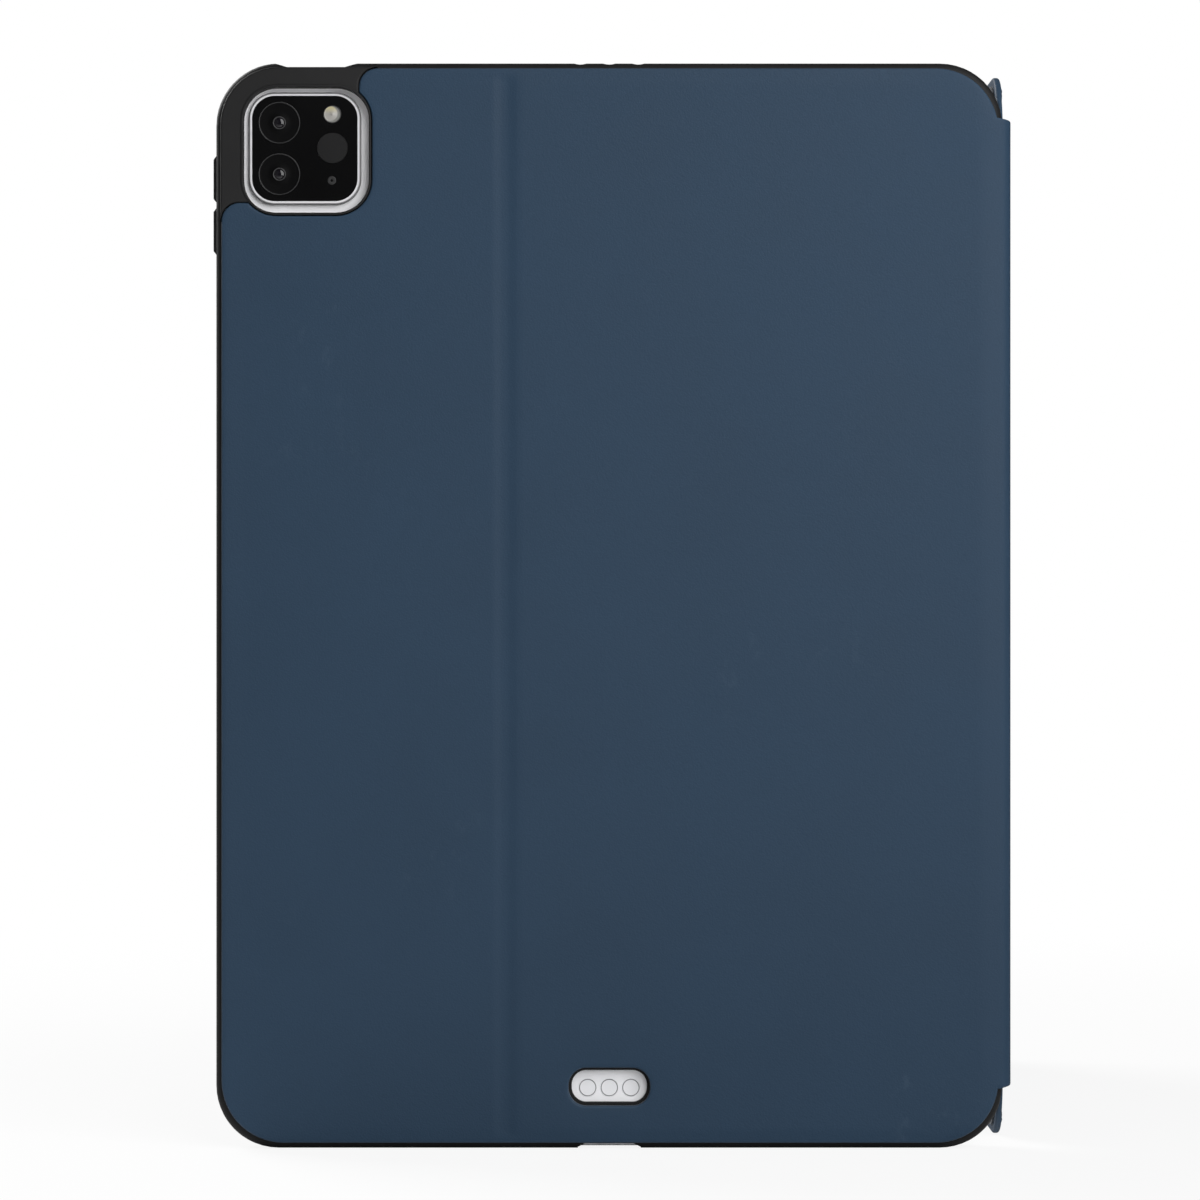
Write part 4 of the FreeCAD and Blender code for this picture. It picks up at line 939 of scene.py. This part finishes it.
left, bottom, right, top, *_ = lining_place("stand")
stand_cut = (
    [(left, bottom)]
    + arc(right - LINING_CORNER, bottom + LINING_CORNER, LINING_CORNER, -90, 0)
    + arc(right - LINING_CORNER, top - LINING_CORNER, LINING_CORNER, 0, 90)
    + [(left, top)]
)
add_lining("stand", "stand_board", [stand_cut, window_hole])

left, bottom, right, top, *_ = lining_place("spine")
spine_cut = [(left, bottom), (right, bottom), (right, top), (left, top)]
add_lining("spine", "spine_stiffener", [spine_cut], step=SPINE_LINING_STEP, gap=SPINE_LINING_STEP)

left, bottom, right, top, *_ = lining_place("cover")
cover_cut = rounded_loop(left, bottom, right, top, LINING_CORNER)
module_low, module_high = box_mm("keyboard_base")
module_hole = rounded_loop(
    module_low.y + past_roll - MODULE_CLEAR,
    module_low.z - MODULE_CLEAR,
    module_high.y + past_roll + MODULE_CLEAR,
    module_high.z + MODULE_CLEAR,
    MODULE_CORNER,
)[::-1]
module_area = (module_high.y - module_low.y) * (module_high.z - module_low.z)
cover_area = ((right - left) * (top - bottom) - module_area) * MM * MM
add_lining("cover", "cover_board", [cover_cut, module_hole], area=cover_area)

# Keyboard module: a moulded base pan and a bezel with a groove that the tray's edge stands in.
# Under the keys lie a steel plate, a printed membrane and a rubber dome sheet.
# The battery and the controller board sit by the groove.
base_plastic = grained("base_pan_plastic", (0.03, 0.033, 0.039), rough=0.55, grain=0.2, deep=0.012)
dress(base_plastic, "keyboard_base")
deck_plastic = grained(
    "bezel_plastic", (0.036, 0.041, 0.05), rough=0.5, grain=0.16, deep=0.01, specular=0.45
)
dress(deck_plastic, "keyboard_bezel")
membrane = grained("printed_membrane", (0.5, 0.52, 0.5), rough=0.4, grain=0.6, deep=0.01)
dress(membrane, "membrane")
silicone = grained("dome_silicone", (0.42, 0.42, 0.4), rough=0.6, grain=0.4, deep=0.02)
dress(silicone, "dome_sheet")
solder_mask = grained(
    "solder_mask", (0.015, 0.09, 0.04), rough=0.4, grain=0.8, deep=0.02, cloud=4.0, drift=0.4
)
dress(solder_mask, "controller_board")
light_pipe = grained("frosted_light_pipe", (0.62, 0.66, 0.68), rough=0.45, grain=0.2, deep=0.01)
dress(light_pipe, "status_lights")

# Keycaps: flat island caps of fine matt plastic with a slightly rounded rim, in rows and large keys.
# Two of the home-row caps have a raised bar to feel for, and the power switch has three grip ribs.
# Bars and ribs are short round rods, half sunk in the face that carries them.
KEY_PITCH = 15.4
KEY_GAP = 1.9
RIB_PITCH = 1.1
RIB_HALF = 0.8
RIB_RADIUS = 0.14
BAR_HALF = 1.8
BAR_RADIUS = 0.22
BAR_FROM_EDGE = 2.4
BAR_FIRST_KEY = 3.5
BAR_KEYS_APART = 3
ROD_SIDES = 12
keycap_plastic = grained(
    "keycap_plastic", (0.022, 0.024, 0.028), rough=0.5, grain=0.14, deep=0.012, specular=0.45
)
key_nodes = sorted(node for node in frame["nodes"] if node.startswith(("key_", "keys_")))
dress(keycap_plastic, "power_switch", *key_nodes)

rods = bpy.data.node_groups.new("rods_in_a_row", "GeometryNodeTree")
rods.interface.new_socket("Geometry", in_out="OUTPUT", socket_type="NodeSocketGeometry")
ROD_SOCKETS = {
    "Count": "Int",
    "First": "Vector",
    "Step": "Vector",
    "Half Length": "Vector",
    "Radius": "Float",
    "Finish": "Material",
}
rod_inputs = {}
for label, kind in ROD_SOCKETS.items():
    socket = rods.interface.new_socket(label, in_out="INPUT", socket_type="NodeSocket" + kind)
    rod_inputs[label] = socket.identifier
entry = add(rods, "NodeGroupInput").outputs
exit_ = add(rods, "NodeGroupOutput")
links = {"Count": entry["Count"], "Start Location": entry["First"], "Offset": entry["Step"]}
row = add(rods, "GeometryNodeMeshLine", links)
back = add(rods, "ShaderNodeVectorMath", {0: entry["Half Length"], 3: -1.0}, operation="SCALE")
rod = add(rods, "GeometryNodeCurvePrimitiveLine", {"Start": back.outputs[0], "End": entry["Half Length"]})
links = {"Resolution": ROD_SIDES, "Radius": entry["Radius"]}
section = add(rods, "GeometryNodeCurvePrimitiveCircle", links)
links = {"Curve": rod.outputs[0], "Profile Curve": section.outputs[0], "Fill Caps": True}
tube = add(rods, "GeometryNodeCurveToMesh", links)
places = add(rods, "GeometryNodeInstanceOnPoints", {"Points": row.outputs[0], "Instance": tube.outputs[0]})
real = add(rods, "GeometryNodeRealizeInstances", {0: places.outputs[0]})
coated = add(rods, "GeometryNodeSetMaterial", {0: real.outputs[0], "Material": entry["Finish"]})
rods.links.new(coated.outputs[0], exit_.inputs[0])


def rod_row(name, body, **sizes):
    """Runs the rods tree with its sizes and keeps the result as a plain mesh on a body."""
    piece = bpy.data.objects.new(name, bpy.data.meshes.new(name))
    bpy.context.scene.collection.objects.link(piece)
    modifier = piece.modifiers.new("rods", "NODES")
    modifier.node_group = rods
    modifier[rod_inputs["Finish"]] = keycap_plastic
    for label, value in sizes.items():
        modifier[rod_inputs[label.replace("_", " ").title()]] = value
    made = bpy.data.meshes.new_from_object(piece.evaluated_get(bpy.context.evaluated_depsgraph_get()))
    piece.modifiers.remove(modifier)
    piece.data = made
    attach(piece, body)


low, high = box_mm("power_switch")
middle = (low + high) / 2
rod_row(
    "switch_ribs",
    "switch",
    count=3,
    first=Vector((low.x, middle.y, middle.z - RIB_PITCH)) * MM,
    step=(0.0, 0.0, RIB_PITCH * MM),
    half_length=(0.0, RIB_HALF * MM, 0.0),
    radius=RIB_RADIUS * MM,
)
low, high = box_mm("keys_home")
home_first = high.z + KEY_GAP / 2 - BAR_FIRST_KEY * KEY_PITCH
rod_row(
    "home_bars",
    "keys_home",
    count=2,
    first=Vector((low.x, high.y - BAR_FROM_EDGE, home_first)) * MM,
    step=(0.0, 0.0, -BAR_KEYS_APART * KEY_PITCH * MM),
    half_length=(0.0, 0.0, BAR_HALF * MM),
    radius=BAR_RADIUS * MM,
)

# Legends: pale grey printing on the caps, plain letters, figures and words.
# Each is a very thin raised print that moves with the cap it is on.
LETTER_SIZE = 4.6
WORD_SIZE = 2.5
PAIR_SIZE = 3.4
PAIR_ABOVE = 2.6
PAIR_BELOW = 2.4
PRINT_THICK = 0.012
ARROW = ((1.0, 0.0), (-0.7, 0.95), (-0.7, -0.95))
ARROW_TURNS = {"key_left": pi, "key_right": 0.0, "key_up": pi / 2, "key_down": -pi / 2}
FUNCTION_PITCH = KEY_PITCH * (15 / 14)
FUNCTION_WORDS = ["F%d" % number for number in range(1, 13)] + ["del"]
NUMBER_PAIRS = ["~`", "!1", "@2", "#3", "$4", "%5", "^6", "&7", "*8", "(9", ")0", "_-", "+="]
legend_white = grained("legend_ink", (0.6, 0.62, 0.64), rough=0.6, grain=0.2, deep=0.004)


def small_keys(node, marks):
    return [(node, 1, mark) for mark in marks]


key_rows = [
    [("key_escape", 1, "esc")] + small_keys("keys_function", FUNCTION_WORDS),
    small_keys("keys_number", NUMBER_PAIRS) + [("key_backspace", 2, "backspace")],
    [("key_tab", 1.5, "tab")]
    + small_keys("keys_upper", [*"QWERTYUIOP", "{[", "}]"])
    + [("keys_upper", 1.5, "|\\")],
    [("key_caps", 1.75, "caps lock")]
    + small_keys("keys_home", [*"ASDFGHJKL", ":;", "\"'"])
    + [("key_enter", 2.25, "enter")],
    [("key_left_shift", 2.25, "shift")]
    + small_keys("keys_lower", [*"ZXCVBNM", "<,", ">.", "?/"])
    + [("key_right_shift", 2.75, "shift")],
    small_keys("keys_modifier", ["fn", "ctrl", "alt"])
    + [("keys_modifier", 1.25, "cmd"), ("key_space", 5.5, ""), ("keys_modifier", 1.25, "cmd")]
    + [("keys_modifier", 1, "alt"), ("key_left", 1, ""), ("arrows", 1, ""), ("key_right", 1, "")],
]


def print_text(mesh, text, size, along, up, level):
    """Adds flat raised text to a bmesh, read with the cover's fold at the far side."""
    curve = bpy.data.curves.new("legend", "FONT")
    curve.body = text
    curve.size = size
    curve.align_x = "CENTER"
    curve.align_y = "CENTER"
    curve.resolution_u = 3
    curve.extrude = PRINT_THICK / 2
    holder = bpy.data.objects.new("legend", curve)
    flat = bpy.data.meshes.new_from_object(holder)
    for vert in flat.vertices:
        x, y, z = vert.co
        vert.co = Vector((level - z, along - y, up - x)) * MM
    mesh.from_mesh(flat)
    bpy.data.objects.remove(holder)
    bpy.data.curves.remove(curve)
    bpy.data.meshes.remove(flat)


def print_arrow(mesh, along, up, level, turn):
    """Adds a small triangle, thin and raised, that points the way an arrow key moves."""
    corners = []
    for out, side in ARROW:
        right = out * cos(turn) - side * sin(turn)
        ahead = out * sin(turn) + side * cos(turn)
        corners.append((along - ahead, up - right))
    layers = []
    for lift in (-PRINT_THICK / 2, PRINT_THICK / 2):
        layers.append([mesh.verts.new(Vector((level - lift, a, u)) * MM) for a, u in corners])
    mesh.faces.new(layers[1])
    mesh.faces.new(layers[0][::-1])
    for number in range(3):
        after = (number + 1) % 3
        mesh.faces.new([layers[0][number], layers[0][after], layers[1][after], layers[1][number]])


legends = {}
keys_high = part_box("key_escape")[1].z / MM + KEY_GAP / 2
for row_keys in key_rows:
    pitch = FUNCTION_PITCH if row_keys is key_rows[0] else KEY_PITCH
    high = keys_high
    for node, units, text in row_keys:
        low = high - units * pitch
        up = (low + high) / 2
        high = low
        if node == "key_space":
            continue
        for owner in ("key_up", "key_down") if node == "arrows" else (node,):
            cap_low, cap_high = box_mm(owner)
            if owner not in legends:
                legends[owner] = bmesh.new()
            mesh = legends[owner]
            along = (cap_low.y + cap_high.y) / 2
            level = cap_low.x
            if owner in ARROW_TURNS:
                print_arrow(mesh, along, up, level, ARROW_TURNS[owner])
            elif len(text) == 2 and not text.isalnum():
                print_text(mesh, text[0], PAIR_SIZE, along - PAIR_ABOVE, up, level)
                print_text(mesh, text[1], PAIR_SIZE, along + PAIR_BELOW, up, level)
            else:
                print_text(mesh, text, LETTER_SIZE if len(text) == 1 else WORD_SIZE, along, up, level)
for owner, mesh in legends.items():
    bmesh.ops.recalc_face_normals(mesh, faces=mesh.faces)
    piece = add_piece("legend_" + owner, mesh, [legend_white])
    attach(piece, owner)

# Stage: a plain white floor in a white studio, with a large soft light high on the right of the back panel.
# A weak light fills in on the left, and one behind lights the keyboard's side.
# The camera looks level at the back panel from a metre away; the picture is to size in the rim's plane.
PIXEL = 0.2315 * MM
PICTURE = 1200
VIEW_X = -2.15 * MM
VIEW_Z = 126.9 * MM
VIEW_PLANE = -3.0 * MM
VIEW_FROM = 1.0
SENSOR = 36.0
STUDIO_GLOW = 0.08
STUDIO_FILL = 0.07
FLOOR_HALF = 6.0
FLOOR_NEAR = 0.2
FLOOR_FAR = 0.7
FLOOR_NEAR_GLOW = 0.88
WHITE = (1, 1, 1, 1)

floor_mesh = bmesh.new()
bmesh.ops.create_grid(floor_mesh, x_segments=8, y_segments=8, size=FLOOR_HALF)
plain = {"roughness": 0.9, "base_color": (0.8, 0.8, 0.8, 1)}
floor_white, tree, shader, position = start_finish("studio_floor", **plain)
glow = add(tree, "ShaderNodeEmission", {"Color": WHITE, "Strength": 1.0})
path = add(tree, "ShaderNodeLightPath")
share = stretch(tree, length_of(tree, position), FLOOR_NEAR, FLOOR_FAR, FLOOR_NEAR_GLOW, 1.0, smooth=True)
share = arithmetic(tree, "MULTIPLY", path.outputs["Is Camera Ray"], share)
mix = add(tree, "ShaderNodeMixShader", {0: share, 1: shader.outputs[0], 2: glow.outputs[0]})
tree.links.new(mix.outputs[0], tree.nodes["Material Output"].inputs["Surface"])
floor = add_piece("studio_floor", floor_mesh, [floor_white])

world = bpy.data.worlds.new("white_studio")
bpy.context.scene.world = world
world.use_nodes = True
tree = world.node_tree
tree.nodes.clear()
path = add(tree, "ShaderNodeLightPath")
strength = arithmetic(tree, "MULTIPLY_ADD", path.outputs["Is Diffuse Ray"], STUDIO_FILL, STUDIO_GLOW)
strength = arithmetic(tree, "MAXIMUM", strength, path.outputs["Is Camera Ray"])
sky = add(tree, "ShaderNodeBackground", {"Color": WHITE, "Strength": strength})
tree.links.new(sky.outputs[0], add(tree, "ShaderNodeOutputWorld").inputs["Surface"])


def soft_light(name, place, aim, size, power):
    light = bpy.data.lights.new(name, "AREA")
    light.size = size
    light.energy = power
    lamp = bpy.data.objects.new(name, light)
    lamp.location = place
    lamp.rotation_euler = (Vector(aim) - Vector(place)).to_track_quat("-Z", "Y").to_euler()
    bpy.context.scene.collection.objects.link(lamp)


soft_light("key_softbox", place=(0.37, -0.6, 0.49), aim=(0.02, 0.0, 0.15), size=0.72, power=7.3)
soft_light("fill_softbox", place=(-0.7, -1.0, 0.4), aim=(0.0, 0.0, 0.12), size=0.9, power=0.3)
soft_light("rear_softbox", place=(-0.9, 0.85, 0.9), aim=(0.0, 0.06, 0.12), size=0.9, power=22.0)

camera = bpy.data.objects.new("camera", bpy.data.cameras.new("camera"))
camera.location = (VIEW_X, VIEW_PLANE - VIEW_FROM, VIEW_Z)
camera.rotation_euler = (pi / 2, 0.0, 0.0)
camera.data.sensor_width = SENSOR
camera.data.lens = SENSOR * VIEW_FROM / (PIXEL * PICTURE)
camera.data.clip_end = 100.0
bpy.context.scene.collection.objects.link(camera)
bpy.context.scene.camera = camera
bpy.context.scene.view_settings.view_transform = "Standard"
